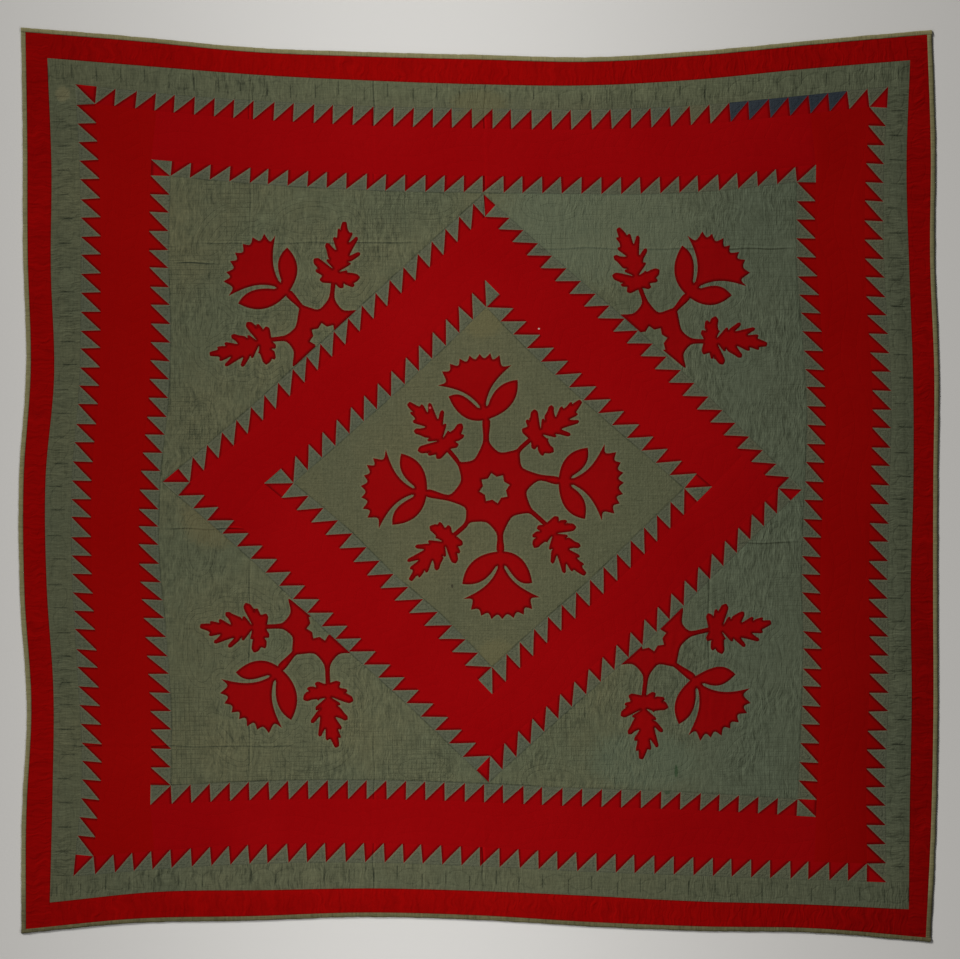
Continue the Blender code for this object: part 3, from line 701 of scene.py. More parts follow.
def spline(points, steps, tight=0.36):
    """A smooth closed line through the points."""
    p = np.asarray(points, float)
    before, after, beyond = np.roll(p, 1, 0), np.roll(p, -1, 0), np.roll(p, -2, 0)
    t = (np.arange(steps) / steps)[None, :, None]
    a, b, c, d = (q[:, None] for q in (before, p, after, beyond))
    m0, m1 = tight * (c - a), tight * (d - b)
    curve = ((2 * t ** 3 - 3 * t ** 2 + 1) * b + (t ** 3 - 2 * t ** 2 + t) * m0
             + (-2 * t ** 3 + 3 * t ** 2) * c + (t ** 3 - t ** 2) * m1)
    return curve.reshape(-1, 2)


def oak_side(rows, rng):
    """Points (off, along) up one side: a notch, then a rounded lobe, and so on."""
    out = []
    for k, (na, no, ta, to, wide) in enumerate(rows):
        last = k == len(rows) - 1
        nxt = (1.0, -0.02) if last else rows[k + 1][:2]
        notch, tip = np.array((no, na)), np.array((to, ta))
        if not last:
            tip = tip + rng.normal(0, 0.009, 2)
        root = (notch + np.array((nxt[1], nxt[0]))) / 2
        way = tip - root
        way = way / max(np.hypot(*way), 1e-6)
        side = np.array((way[1], -way[0])) * (wide / 2)
        finger = np.hypot(*(tip - root)) > 1.9 * wide
        out.append(notch + (0 if k == 0 else rng.normal(0, 0.005, 2)))
        if finger:
            out.append(tip - way * wide * 1.15 + side * 1.25)
        out.append(tip - way * wide * 0.42 + side)
        if not last:
            out += [tip, tip - way * wide * 0.40 - side]
            if finger:
                out.append(tip - way * wide * 1.15 - side * 1.25)
    return out


def oak_leaf(x, y, length, angle, hand, wide, rng):
    left = [(-off, along) for off, along in oak_side(OAK_LOBES[0], rng)]
    right = oak_side(OAK_LOBES[1], rng)
    outline = spline(left + [(0.0, 1.0)] + right[::-1], 5)
    return turned(outline * (hand * wide, 1) * length, x, y, angle)


def medallion(motif):
    middle = np.array(MEDALLIONS[motif], float)

    def spoke(angle, reach):
        a = math.radians(angle)
        return middle + np.array((math.cos(a), math.sin(a))) * reach

    outline = []
    rows = [row[1:] for row in ARMS if row[0] == motif]
    for kind, which, angle, reach, angle_a, reach_a, angle_b, reach_b in rows:
        if kind == "flower":
            _, x, y, axis, *_, neck = FLOWERS[which]
            half, run = NECK_HALF, -neck + 4.0
        else:
            _, x, y, length, axis, *_ = OAK_LEAVES[which]
            half, run = THROAT_HALF, 0.12 * length
        way = np.array((math.cos(math.radians(axis)), math.sin(math.radians(axis))))
        end, throat = np.array((x, y)) + way * run, spoke(angle, reach)
        way = (end - throat) / np.hypot(*(end - throat))
        out = np.array((-way[1], way[0]))
        outline += [spoke(angle_a, reach_a), throat - out * THROAT_HALF, end - out * half,
                    end + out * half, throat + out * THROAT_HALF, spoke(angle_b, reach_b)]
    if motif != "centre":
        first, last = rows[0][4] - 17.0, rows[-1][6] + 20.0
        outline = [middle, spoke(first, BODY_REACH)] + outline + [spoke(last, BODY_REACH)]
    # the maker's scissors round every corner a little
    p = np.array(outline)
    for share in (0.18, 0.25):
        a, b = p, np.roll(p, -1, 0)
        length = np.maximum(np.hypot(*(b - a).T), 1e-6)[:, None]
        cut = np.minimum(share * length, 8.0) / length
        p = np.stack((a + (b - a) * cut, b - (b - a) * cut), 1).reshape(-1, 2)
    return p


def star(motif):
    a = np.radians(STAR_TURN + np.arange(16) * 22.5)
    r = np.where(np.arange(16) % 2 == 0, STAR_OUT, STAR_IN)
    return np.array(MEDALLIONS[motif]) + np.column_stack((r * np.cos(a), r * np.sin(a)))


def motif_outline(motif, limit):
    """The applique's shapes cut as one: (pairs of points of its edge, test)."""
    rng = np.random.default_rng(900 + sorted(MEDALLIONS).index(motif))
    shapes = [medallion(motif)]
    for row in FLOWERS:
        if row[0] == motif:
            shapes += flower(*row[1:], rng)
    for row in OAK_LEAVES:
        if row[0] == motif:
            shapes.append(oak_leaf(*row[1:], rng))
    holes = [star(motif)]
    every = shapes + holes + [limit]
    points, edges = [], []
    for loop in every:
        k, n = len(points), len(loop)
        points += [Vector(p) for p in loop]
        edges += [(k + i, k + (i + 1) % n) for i in range(n)]

    def within(p):
        hit = np.zeros(len(p), bool)
        for s in shapes:
            hit |= inside(p, s)
        for h in holes:
            hit &= ~inside(p, h)
        return hit & inside(p, limit)

    verts, _, faces, _, _, _ = delaunay_2d_cdt(points, edges, [], 0, 1e-4)
    co = np.array([tuple(v) for v in verts])
    tri = np.array([f[:3] for f in faces])
    keep = tri[within(co[tri].mean(1))]
    count = {}
    for f in keep:
        for i in range(3):
            count.setdefault((int(f[i]), int(f[(i + 1) % 3])), 0)
            count[(int(f[i]), int(f[(i + 1) % 3]))] += 1
    rim = [(a, b) for (a, b) in count if (b, a) not in count]
    return co, rim, within


def applique(motif, ground_loop, echo_at, where, slots, limit):
    co, rim, within = OUTLINES[motif]
    step, pts, pairs, made = 2.6, [], [], {}

    def vertex(i):
        if i not in made:
            made[i] = len(pts)
            pts.append(co[i])
        return made[i]

    for a, b in rim:
        i, j = vertex(a), vertex(b)
        n = max(1, int(math.ceil(np.hypot(*(co[b] - co[a])) / step)))
        last = i
        for k in range(1, n):
            pts.append(co[a] + (co[b] - co[a]) * k / n)
            pairs.append((last, len(pts) - 1))
            last = len(pts) - 1
        pairs.append((last, j))
    border = np.array(pts)
    edge_points = np.vstack([border[[a for a, _ in pairs]],
                             0.5 * (border[[a for a, _ in pairs]] + border[[b for _, b in pairs]])])
    lo, hi = border.min(0), border.max(0)
    rng = np.random.default_rng(77)
    fill = []
    for size, near, far in ((2.4, 1.0, 5.0), (5.0, 4.6, 1e9)):
        gx, gy = np.meshgrid(np.arange(lo[0], hi[0], size), np.arange(lo[1], hi[1], size * 0.87))
        gx = gx + (np.arange(gx.shape[0]) % 2)[:, None] * size / 2
        g = np.column_stack((gx.ravel(), gy.ravel())) + rng.uniform(-0.12, 0.12, (gx.size, 2)) * size
        g = g[within(g)]
        d = nearest(g, edge_points)
        fill.append(g[(d > near) & (d < far)])
    everything = np.vstack([border] + fill)
    verts, _, faces, _, _, _ = delaunay_2d_cdt([Vector(p) for p in everything], pairs, [], 0, 1e-4)
    xy = np.array([tuple(v) for v in verts])
    tri = np.array([f[:3] for f in faces])
    tri = tri[within(xy[tri].mean(1))]
    used = np.unique(tri)
    remap = -np.ones(len(xy), int)
    remap[used] = np.arange(len(used))
    xy, tri = xy[used], remap[tri]
    e1, e2 = xy[tri[:, 1]] - xy[tri[:, 0]], xy[tri[:, 2]] - xy[tri[:, 0]]
    wrong = e1[:, 0] * e2[:, 1] - e1[:, 1] * e2[:, 0] < 0
    tri[wrong] = tri[wrong][:, ::-1]
    d = nearest(xy, edge_points)
    ground, _ = ground_height(xy, ground_loop, echo_at(xy), where)
    soft = 0.10 * value_noise(xy[:, 0] / 14, xy[:, 1] / 14, 61)
    z = ground + 0.22 + (0.80 + soft) * (1 - np.exp(-d / 1.0)) - 0.16 * groove(d - 5.5, 1.6)
    n = len(xy)
    directed = np.vstack((tri[:, [0, 1]], tri[:, [1, 2]], tri[:, [2, 0]]))
    code = directed[:, 0] * n + directed[:, 1]
    back = directed[:, 1] * n + directed[:, 0]
    out = directed[~np.isin(code, back)]
    sides = np.stack((out[:, 0], out[:, 0] + n, out[:, 1] + n, out[:, 1]), -1)
    faces = list(tri) + list(tri[:, ::-1] + n) + list(sides)
    marks = [0] * len(faces)
    full = np.vstack((np.column_stack((xy, z)), np.column_stack((xy, ground - 0.55))))
    obj = build("applique_" + motif + "_cloth", full, faces, marks, slots,
                floats={"edge": np.concatenate((d, d)) * MM})
    size = (hi - lo) * 1.01
    e1, e2 = xy[tri[:, 1]] - xy[tri[:, 0]], xy[tri[:, 2]] - xy[tri[:, 0]]
    covered = 0.5 * np.abs(e1[:, 0] * e2[:, 1] - e1[:, 1] * e2[:, 0]).sum()
    panel = "centre_square" if motif == "centre" else "corner_triangle_" + motif
    scale = math.sqrt(max(1.0, 0.31 * size[0] * size[1] / (covered * 1.015)))
    declare(obj, "applique_" + motif, size[0] / scale, size[1] / scale, covered,
            rests_on=[panel + "_cloth"])
    return obj


def tri_grid(ab, bc, ca):
    """A triangular grid in a bowed triangle: (points, faces, border order)."""
    n = len(ab) - 1
    rows, cols = [], []
    for r in range(n + 1):
        for k in range(r + 1):
            rows.append(r)
            cols.append(k)
    r, k = np.array(rows), np.array(cols)
    wa, wb, wc = 1 - r / n, (r - k) / n, k / n
    a, b, c = ab[0], bc[0], ca[0]
    flat = wa[:, None] * a + wb[:, None] * b + wc[:, None] * c
    steps = np.arange(n + 1) / n

    def bowed(side, p, q, here, there):
        off = side - (p + (q - p) * steps[:, None])
        both = here + there
        t = np.where(both > 1e-9, there / np.maximum(both, 1e-9), 0)
        return np.stack((np.interp(t, steps, off[:, 0]), np.interp(t, steps, off[:, 1])), -1) * both[:, None]

    points = flat + bowed(ab, a, b, wa, wb) + bowed(bc, b, c, wb, wc) + bowed(ca, c, a, wc, wa)

    def at(row, col):
        return row * (row + 1) // 2 + col

    faces = []
    for row in range(n):
        for col in range(row + 1):
            faces.append((at(row, col), at(row + 1, col), at(row + 1, col + 1)))
            if col < row:
                faces.append((at(row, col), at(row + 1, col + 1), at(row, col + 1)))
    border = ([at(row, 0) for row in range(n)] + [at(n, col) for col in range(n)]
              + [at(row, row) for row in range(n, 0, -1)])
    return points, np.array(faces), np.array(border)


def triangle_sides(corner, ends, starts, side):
    edge = SEAMS["diamond_a"][side]
    before, after = SEAMS["saw_inner_b"][ends], SEAMS["saw_inner_b"][starts]
    tb, tc = before.foot(edge.at(0)[0]), after.foot(edge.at(1)[0])
    n = 176
    ab = Path(before.at(np.linspace(1, tb, 500))).at(np.linspace(0, 1, n + 1))
    ca = Path(after.at(np.linspace(tc, 0, 500))).at(np.linspace(0, 1, n + 1))
    k = 3
    along = Path(edge.at(np.linspace(0, 1, 500))).at(np.linspace(0, 1, n - 2 * k + 1))
    first = np.linspace(ab[-1], along[0], k + 1)[:-1]
    last = np.linspace(along[-1], ca[0], k + 1)[1:]
    return ab, np.vstack((first, along, last)), ca


TRIANGLES = (("tl", "left", "top", "nw"), ("tr", "top", "right", "ne"),
             ("br", "right", "bottom", "se"), ("bl", "bottom", "left", "sw"))
CENTRE_LOOP = np.vstack([Path(SEAMS["diamond_d"][s].at(np.linspace(0, 1, 300))).at(np.linspace(0, 1, 151)[:-1])
                         for s in DIAMOND_SIDES])[::-1]
SIDES_OF = {row[0]: triangle_sides(*row) for row in TRIANGLES}
LOOPS = {"centre": CENTRE_LOOP}
for key, (ab, bc, ca) in SIDES_OF.items():
    LOOPS[key] = np.vstack((ab[:-1], bc[:-1], ca[:-1]))
DENSE = {key: dense(loop, 1.2) for key, loop in LOOPS.items()}
OUTLINES = {}
EDGE_POINTS = {}
for key in LOOPS:
    OUTLINES[key] = motif_outline(key, LOOPS[key])
    co, rim, _ = OUTLINES[key]
    chunks = [np.linspace(co[a], co[b], max(2, int(np.hypot(*(co[b] - co[a])) / 1.5) + 1))[:-1] for a, b in rim]
    EDGE_POINTS[key] = np.vstack(chunks)


def echo_of(key):
    """Distance to what the quilting follows: the applique and, one line of
    quilting further off, the quilted ovals."""
    ovals = []
    t = np.linspace(0, 2 * math.pi, 90)[:-1]
    for row in QUILTED_OVALS:
        if row[0] == key:
            _, x, y, long, wide, angle = row
            lens = np.column_stack((wide * np.sin(t) * np.abs(np.sin(t)) ** 0.3, long * np.cos(t)))
            ovals.append(turned(lens, x, y, angle))
    if not ovals:
        return lambda xy: nearest(xy, EDGE_POINTS[key])
    points = np.vstack(ovals)
    return lambda xy: np.minimum(nearest(xy, EDGE_POINTS[key]), nearest(xy, points) + 12.0)


# ---------------------------------------------------------------- materials
class V:
    """A number in a material's graph, so that graphs read as sums, in mm."""

    def __init__(self, tree, out):
        self.t, self.o = tree, out

    def do(self, kind, *more):
        node = self.t.nodes.new("ShaderNodeMath")
        node.operation = kind
        for k, m in enumerate((self,) + more):
            if isinstance(m, V):
                self.t.links.new(m.o, node.inputs[k])
            else:
                node.inputs[k].default_value = m
        return V(self.t, node.outputs[0])

    def __add__(self, m):
        return self.do("ADD", m)

    __radd__ = __add__

    def __sub__(self, m):
        return self.do("SUBTRACT", m)

    def __rsub__(self, m):
        return self.do("MULTIPLY_ADD", -1.0, m)

    def __mul__(self, m):
        return self.do("MULTIPLY", m)

    __rmul__ = __mul__

    def __truediv__(self, m):
        return self.do("DIVIDE", m)

    def step(self, lo, hi):
        """0 below lo, 1 above hi, smooth between (or the reverse)."""
        node = self.t.nodes.new("ShaderNodeMapRange")
        node.interpolation_type = "SMOOTHSTEP"
        self.t.links.new(self.o, node.inputs["Value"])
        up = hi > lo
        node.inputs["From Min"].default_value = lo if up else hi
        node.inputs["From Max"].default_value = hi if up else lo
        node.inputs["To Min"].default_value = 0.0 if up else 1.0
        node.inputs["To Max"].default_value = 1.0 if up else 0.0
        return V(self.t, node.outputs["Result"])

    def near(self, period):
        """Distance to the nearest multiple of period."""
        return self.do("WRAP", period / 2, -period / 2).do("ABSOLUTE")


class Cloth:
    """A material's graph, with the quilt's own coordinates in mm."""

    def __init__(self, name):
        self.mat = bpy.data.materials.new(name)
        self.mat.use_nodes = True
        self.t = self.mat.node_tree
        self.bsdf = self.t.nodes["Principled BSDF"]
        place = self.t.nodes.new("ShaderNodeTexCoord")
        parts = self.t.nodes.new("ShaderNodeSeparateXYZ")
        self.t.links.new(place.outputs["Object"], parts.inputs[0])
        self.x = V(self.t, parts.outputs[0]) * 1000.0 + float(MIDDLE[0])
        self.y = V(self.t, parts.outputs[1]) * 1000.0 + float(MIDDLE[1])

    def lane(self):
        node = self.t.nodes.new("ShaderNodeUVMap")
        node.uv_map = "lane"
        parts = self.t.nodes.new("ShaderNodeSeparateXYZ")
        self.t.links.new(node.outputs[0], parts.inputs[0])
        return V(self.t, parts.outputs[0]) * 1000.0, V(self.t, parts.outputs[1]) * 1000.0

    def given(self, key):
        node = self.t.nodes.new("ShaderNodeAttribute")
        node.attribute_name = key
        return V(self.t, node.outputs["Fac"]) * 1000.0

    def vector(self, x, y, z=0.0):
        node = self.t.nodes.new("ShaderNodeCombineXYZ")
        for k, m in enumerate((x, y, z)):
            if isinstance(m, V):
                self.t.links.new(m.o, node.inputs[k])
            else:
                node.inputs[k].default_value = m
        return node.outputs[0]

    def noise(self, x, y, detail=0.0, seed=0.0, rough=0.5):
        """Noise around 0, about -0.5 to 0.5, over lattice cells of size 1."""
        node = self.t.nodes.new("ShaderNodeTexNoise")
        node.noise_dimensions = "3D" if seed else "2D"
        self.t.links.new(self.vector(x, y, seed), node.inputs["Vector"])
        node.inputs["Scale"].default_value = 1.0
        node.inputs["Detail"].default_value = detail
        node.inputs["Roughness"].default_value = rough
        return V(self.t, node.outputs[0]) - 0.5

    def mix(self, a, b, amount, kind="MIX"):
        node = self.t.nodes.new("ShaderNodeMix")
        node.data_type, node.blend_type = "RGBA", kind
        node.clamp_factor = True
        for socket, m in ((node.inputs[0], amount), (node.inputs[6], a), (node.inputs[7], b)):
            if isinstance(m, V):
                self.t.links.new(m.o, socket)
            elif isinstance(m, bpy.types.NodeSocket):
                self.t.links.new(m, socket)
            elif isinstance(m, tuple):
                socket.default_value = (*m, 1.0)
            else:
                socket.default_value = m
        return node.outputs[2]

    def grey(self, value):
        node = self.t.nodes.new("ShaderNodeCombineColor")
        for k in range(3):
            self.t.links.new(value.o, node.inputs[k])
        return node.outputs[0]

    def finish(self, colour, height, rough, shine=0.0, sheen=0.0):
        """height is in mm."""
        self.t.links.new(colour, self.bsdf.inputs["Base Color"])
        bump = self.t.nodes.new("ShaderNodeBump")
        bump.inputs["Strength"].default_value = 1.0
        bump.inputs["Distance"].default_value = 0.001
        self.t.links.new(height.o, bump.inputs["Height"])
        self.t.links.new(bump.outputs[0], self.bsdf.inputs["Normal"])
        self.t.links.new(rough.o, self.bsdf.inputs["Roughness"])
        self.bsdf.inputs["Specular IOR Level"].default_value = shine
        self.bsdf.inputs["Sheen Weight"].default_value = sheen
        self.bsdf.inputs["Sheen Roughness"].default_value = 0.5
        return self.mat


# cloth: main, faded, deep (linear colours), grain, shine
DYES = {
    "red":     ((0.258, 0.0016, 0.0026), (0.286, 0.0024, 0.0034), (0.085, 0.0010, 0.0014), 0.28, 0.0),
    "applied": ((0.243, 0.0020, 0.0028), (0.266, 0.0032, 0.0036), (0.060, 0.0012, 0.0014), 0.28, 0.0),
    "side":    ((0.254, 0.0018, 0.0016), (0.278, 0.0026, 0.0022), (0.080, 0.0011, 0.0010), 0.28, 0.0),
    "green":   ((0.090, 0.099, 0.057), (0.114, 0.109, 0.057), (0.034, 0.040, 0.024), 1.8, 0.05),
    "centre":  ((0.094, 0.096, 0.053), (0.116, 0.109, 0.056), (0.038, 0.043, 0.024), 1.5, 0.05),
    "border":  ((0.085, 0.093, 0.055), (0.104, 0.104, 0.057), (0.028, 0.033, 0.020), 1.7, 0.05),
    "saw":     ((0.084, 0.093, 0.061), (0.106, 0.106, 0.062), (0.030, 0.035, 0.024), 1.6, 0.05),
    "blue":    ((0.024, 0.032, 0.042), (0.034, 0.042, 0.050), (0.012, 0.016, 0.022), 0.9, 0.05),
    "binding": ((0.190, 0.177, 0.086), (0.226, 0.200, 0.098), (0.070, 0.062, 0.030), 1.2, 0.05),
    "back":    ((0.420, 0.380, 0.290), (0.470, 0.430, 0.340), (0.260, 0.230, 0.170), 0.8, 0.08),
}
# what shows on a kind of piece: crumple, wrinkle lines and quilting lines,
# each as its relief in mm and its painted light and shade (painted light on crumple's ridges, painted shade in its
# folds, dirt and painted shade in the lines)
KINDS = {
    "ground":  (1.65, 0.56, 0.0, 0.05, 0.44, 0.20),
    "centre":  (1.00, 0.46, 0.0, 0.05, 0.18, 0.07),
    "border":  (1.65, 0.52, 0.2, 0.16, 0.34, 0.14),
    "edge":    (1.60, 0.26, 0.0, 0.03, 0.22, 0.05),
    "band":    (0.22, 0.03, 0.0, 0.01, 0.12, 0.02),
    "saw":     (1.30, 0.46, 0.0, 0.10, 0.34, 0.16),
    "motif":   (0.30, 0.05, 0.0, 0.02, 0.14, 0.03),
    "binding": (0.80, 0.25, 0.2, 0.16, 0.0, 0.0),
    "back":    (0.60, 0.15, 0.2, 0.10, 0.3, 0.15),
}


SHADE = 0.34            # plain cloth's place between painted light on ridges and painted shade in folds


def cotton(name, dye, kind):
    g = Cloth(name)
    main, faded, deep, grain, shine = DYES[dye]
    main, faded = (tuple((0.90 * a - (SHADE - 0.10) * b) / (1 - SHADE) for a, b in zip(tone, deep))
                   for tone in (main, faded))
    fold, fold_light_and_shade, line, line_dirt_and_shade, ditch, ditch_dirt_and_shade = KINDS[kind]
    x, y = g.x, g.y
    # a plain weave, with thick and thin threads that show as streaks
    across, upright = g.noise(x / 44, y / 2.3), g.noise(x / 2.3, y / 44, seed=3.7)
    weave = (x * (2 * math.pi / 0.9)).do("SINE") * (y * (2 * math.pi / 0.9)).do("SINE")
    speck = g.noise(x / 4.2, y / 4.2, detail=1.0, seed=4.4)
    slub = across + upright
    height = weave * 0.015 + (slub * 0.07 + speck * 0.16) * grain
    dark = (slub * 0.16 + speck * 0.20) * grain
    mottle = g.noise(x / 26, y / 30, detail=2.0, seed=1.3)
    fade = g.noise(x / 210, y / 250, detail=1.0, seed=5.1)
    quilted = crumple = wrinkle = None
    if kind in ("border", "edge"):
        u, v = g.lane()
        w = g.given("across")
        half = (u * (math.pi / LINK)).do("SINE").do("ABSOLUTE").do("POWER", 0.6) * (w * 0.30)
        off = (v - w * 0.5).do("ABSOLUTE") - half + g.noise(x / 15, y / 15, seed=7.7) * 5.0
        quilted = off.do("ABSOLUTE").step(3.4, 0.0) * g.noise(x / 24, y / 24, seed=3.9).step(-0.16, 0.10)
        bend = g.noise(u / 40, v / 26) * 2.2
        if kind == "border":
            crumple = g.noise(u / 3.8 + bend, v / 26, detail=1.0, seed=2.2) + g.noise(u / 11 + bend, v / 60, seed=6.1) * 0.8
            strong = g.noise(u / 120, v / 90, seed=9.4).step(-0.16, 0.14)
            # the left half of the top and bottom strips is drawn in most
            strong = strong * 0.5 + x.step(-150.0, -500.0) * x.step(-900.0, -860.0) * 0.3
            crumple = crumple * (strong * 0.9 + 0.60)
            # short puckers where the quilting draws the strip in
            jitter = g.noise(u / 55, v / 900, seed=12.1) * 14.0
            pull = (u + jitter).near(LINK).step(2.2, 0.4)
            at = v - w * 0.52 + g.noise(u / 35, v / 900, seed=13.7) * 34.0
            wrinkle = pull * at.do("ABSOLUTE").step(19.0, 13.0) * 2.6 + crumple.step(-0.14, -0.28) * strong
        else:
            crumple = g.noise(u / 6.5 + bend, v / 44, detail=1.0, seed=2.2) + g.noise(u / 16 + bend, v / 90, seed=6.1) * 0.9
            past = x.do("ABSOLUTE").step(978.0, 994.0) * y.do("ABSOLUTE").step(972.0, 990.0)
            # painted shade along the red border's two seams, deeper at the inner one, left off past the corners
            dark = dark + (v.step(3.4, 0.4) * 0.40 + (w - v).step(3.4, 0.4) * 0.25) * (1.0 - past)
            dark = dark + y.step(-950.0, -990.0) * 0.06 + x.step(985.0, 1010.0) * 0.05
            dark = dark + x.step(-850.0, -1000.0) * y.step(600.0, 900.0) * 0.07
    elif kind == "band":
        u, v = g.lane()
        w = g.given("across")
        spine = w * 0.5 + (u * (2 * math.pi / 330)).do("SINE") * (w * 0.13)
        off = (v - spine).do("ABSOLUTE")
        lean = (u - off * 0.55)
        rib = lean.near(27.0).step(1.8, 0.0) * (w * 0.34 - off).step(-1.0, 1.0)
        lobe = (lean * (math.pi / 27.0)).do("SINE").do("ABSOLUTE") * (w * 0.035) + w * 0.31
        rim = (off - lobe).do("ABSOLUTE").step(1.8, 0.0)
        quilted = rib.do("MAXIMUM", rim).do("MAXIMUM", off.step(1.8, 0.0))
        crumple = g.noise(x / 8, y / 22, detail=2.0, seed=2.2)
    elif kind == "saw":
        d, cut = g.given("edge"), g.given("cut")
        crumple = g.noise(x / 4.6, y / 4.2, detail=2.0, seed=2.2)
        # painted shade along the cut on the red halves, painted light along it on the green and blue halves
        dark = dark + (cut.step(7.0, 2.0) * 0.46 if dye in ("red", "side") else cut.step(3.8, 1.0) * -0.24)
        if dye in ("red", "side"):
            crumple = crumple * 0.2
        else:
            quilted = (d - 6.5).do("ABSOLUTE").step(1.3, 0.0)
            wrinkle = crumple.step(-0.10, -0.24)
            # painted shade in the seams along the strip's two long sides
            dark = dark + (d - cut).step(-1.0, -3.0) * d.step(2.4, 0.0) * 0.30
    elif kind in ("ground", "centre"):
        d = g.given("edge")
        seam = d.step(3.6, 0.4)
        height = height - seam * 0.25
        # painted shade in the seam's ditch, stronger in patches
        dark = dark + seam * (g.noise(x / 50, y / 50, seed=10.3).step(-0.16, 0.14) * 0.34 + 0.16)
        hatch_x, hatch_y = (x + y * 0.03).near(11.0).step(1.3, 0.0), (y - x * 0.02).near(11.0).step(1.3, 0.0)
        if kind == "ground":
            e = g.given("echo")
            quilted = e.near(12.0).step(1.5, 0.0) * e.step(62.0, 36.0)
            # painted light: a pale rim on the ground round the applique
            dark = dark - e.step(5.0, 1.0) * 0.34
            patch = g.noise(x / 150, y / 150, seed=8.8)
            quilted = quilted.do("MAXIMUM", hatch_x.do("MAXIMUM", hatch_y) * patch.step(0.03, 0.12))
            bend = g.noise(x / 40, y / 46) * 3.0
            crumple = g.noise(x / 3.9 + bend, y / 15, detail=1.0, seed=2.2) + g.noise(x / 10 + bend * 0.5, y / 34, seed=6.1) * 0.8
            strong = g.noise(x / 80, y / 150, seed=9.4).step(-0.14, 0.14)
            crumple = crumple * (strong * 0.6 + 0.65)
            wrinkle = crumple.step(-0.10, -0.24)
            # the right-hand panels are smoother
            calm = 1.0 - x.step(120.0, 420.0) * 0.40
            dark, quilted = dark * calm, quilted * calm
            cool = x.step(250.0, 650.0) * 0.8
        else:
            quilted = hatch_x.do("MAXIMUM", hatch_y)
            # painted light: a pale rim on the ground round the applique
            dark = dark - g.given("echo").step(5.0, 1.0) * 0.34
            crumple = g.noise(x / 5, y / 6.5, detail=2.0, seed=2.2)
            cool = x.step(-150.0, 420.0) * 0.45
            dark = dark + 0.05
    elif kind == "motif":
        d = g.given("edge")
        quilted = (d - 5.5).do("ABSOLUTE").step(1.1, 0.0)
        crumple = g.noise(x / 11, y / 14, detail=2.0, seed=2.2)
        # painted shade along the turned edge of the applique
        dark = dark + d.step(7.4, 2.2) * 0.44
    elif kind == "binding":
        u, v = g.lane()
        crumple = g.noise(u / 5.0, v / 60, detail=1.0, seed=2.2)
        wrinkle = g.noise(u / 7.5, v / 60, seed=4.4).do("ABSOLUTE").step(0.05, 0.0)
        worn = g.noise(u / 40, v / 8, detail=2.0, seed=6.6)
        # painted shade along the inner seam and over the bottom strip; worn is the cloth's own wear
        dark = dark - worn * 0.25 + v.step(1.6, 0.0) * 0.2 + y.step(-930.0, -985.0) * 0.42
    else:
        quilted = (x + y).near(34.0).step(1.3, 0.0).do("MAXIMUM", (x - y).near(34.0).step(1.3, 0.0))
        crumple = g.noise(x / 16, y / 16, detail=1.0, seed=2.2)
    # crumple paints light on its ridges and shade in its folds
    height, dark = height + crumple * fold, dark - crumple * fold_light_and_shade
    # dirt and painted shade in the wrinkle lines
    if wrinkle is not None:
        height, dark = height - wrinkle * line, dark + wrinkle * line_dirt_and_shade
    # dirt and painted shade in the quilting lines
    if quilted is not None:
        height, dark = height - quilted * ditch, dark + quilted * ditch_dirt_and_shade
    # painted shade down each old fold, with painted light in a band beside it
    if kind in ("ground", "border", "centre", "saw"):
        for k, (way, at, lo, hi, depth, width) in enumerate(FOLDS):
            a, b = (x, y) if way == "y" else (y, x)
            if kind == "centre" or (kind == "ground" and abs(at) < 50):
                continue
            off = a + g.noise(b / 70, float(k), seed=1.7) * 9.0 - float(at)
            ends = b.step(float(lo), lo + 60.0) * b.step(float(hi), hi - 60.0)
            dark = dark + (off.do("ABSOLUTE").step(2.6, 0.6) * depth - (off - 4.0).do("ABSOLUTE").step(4.0, 0.0) * depth * 0.5) * ends
    colour = g.mix(main, faded, fade * 1.5 + mottle * 0.6 + 0.34)
    if kind == "ground":
        colour = g.mix(colour, (0.108, 0.132, 0.088), cool)
    if kind == "centre":
        colour = g.mix(colour, (0.120, 0.134, 0.078), cool)
    if kind == "border":
        colour = g.mix(colour, (0.132, 0.142, 0.079), y.step(880.0, 930.0) * (x.step(-900.0, 300.0) * 0.65 + 0.25))
        colour = g.mix(colour, (0.108, 0.126, 0.082), x.step(300.0, 950.0) * 0.5)
    if kind == "border":
        # painted shade along the right-hand edge, beside the red seam
        dark = dark + x.step(970.0, 1000.0) * 0.12
    if dye == "side":
        dark = dark + x.step(650.0, 1050.0) * y.step(300.0, -600.0) * 0.15
    if dye == "red":
        dark = dark - x.step(150.0, 420.0) * y.step(-150.0, 250.0) * 0.06
    # dark holds the cloth's darker threads and tones and the painted light and shade set above
    colour = g.mix(colour, deep, dark + mottle * 0.14 * grain + SHADE)
    for where, mx, my, rx, ry, tint, strength in MARKS:
        if where == kind and (kind != "saw" or dye == "saw"):
            far = ((x - float(mx)) / rx).do("POWER", 2.0) + ((y - float(my)) / ry).do("POWER", 2.0)
            colour = g.mix(colour, tint, (far + speck * 0.8).step(1.2, 0.3) * strength)
    return g.finish(colour, height, slub * 0.08 + 0.90, shine=shine)


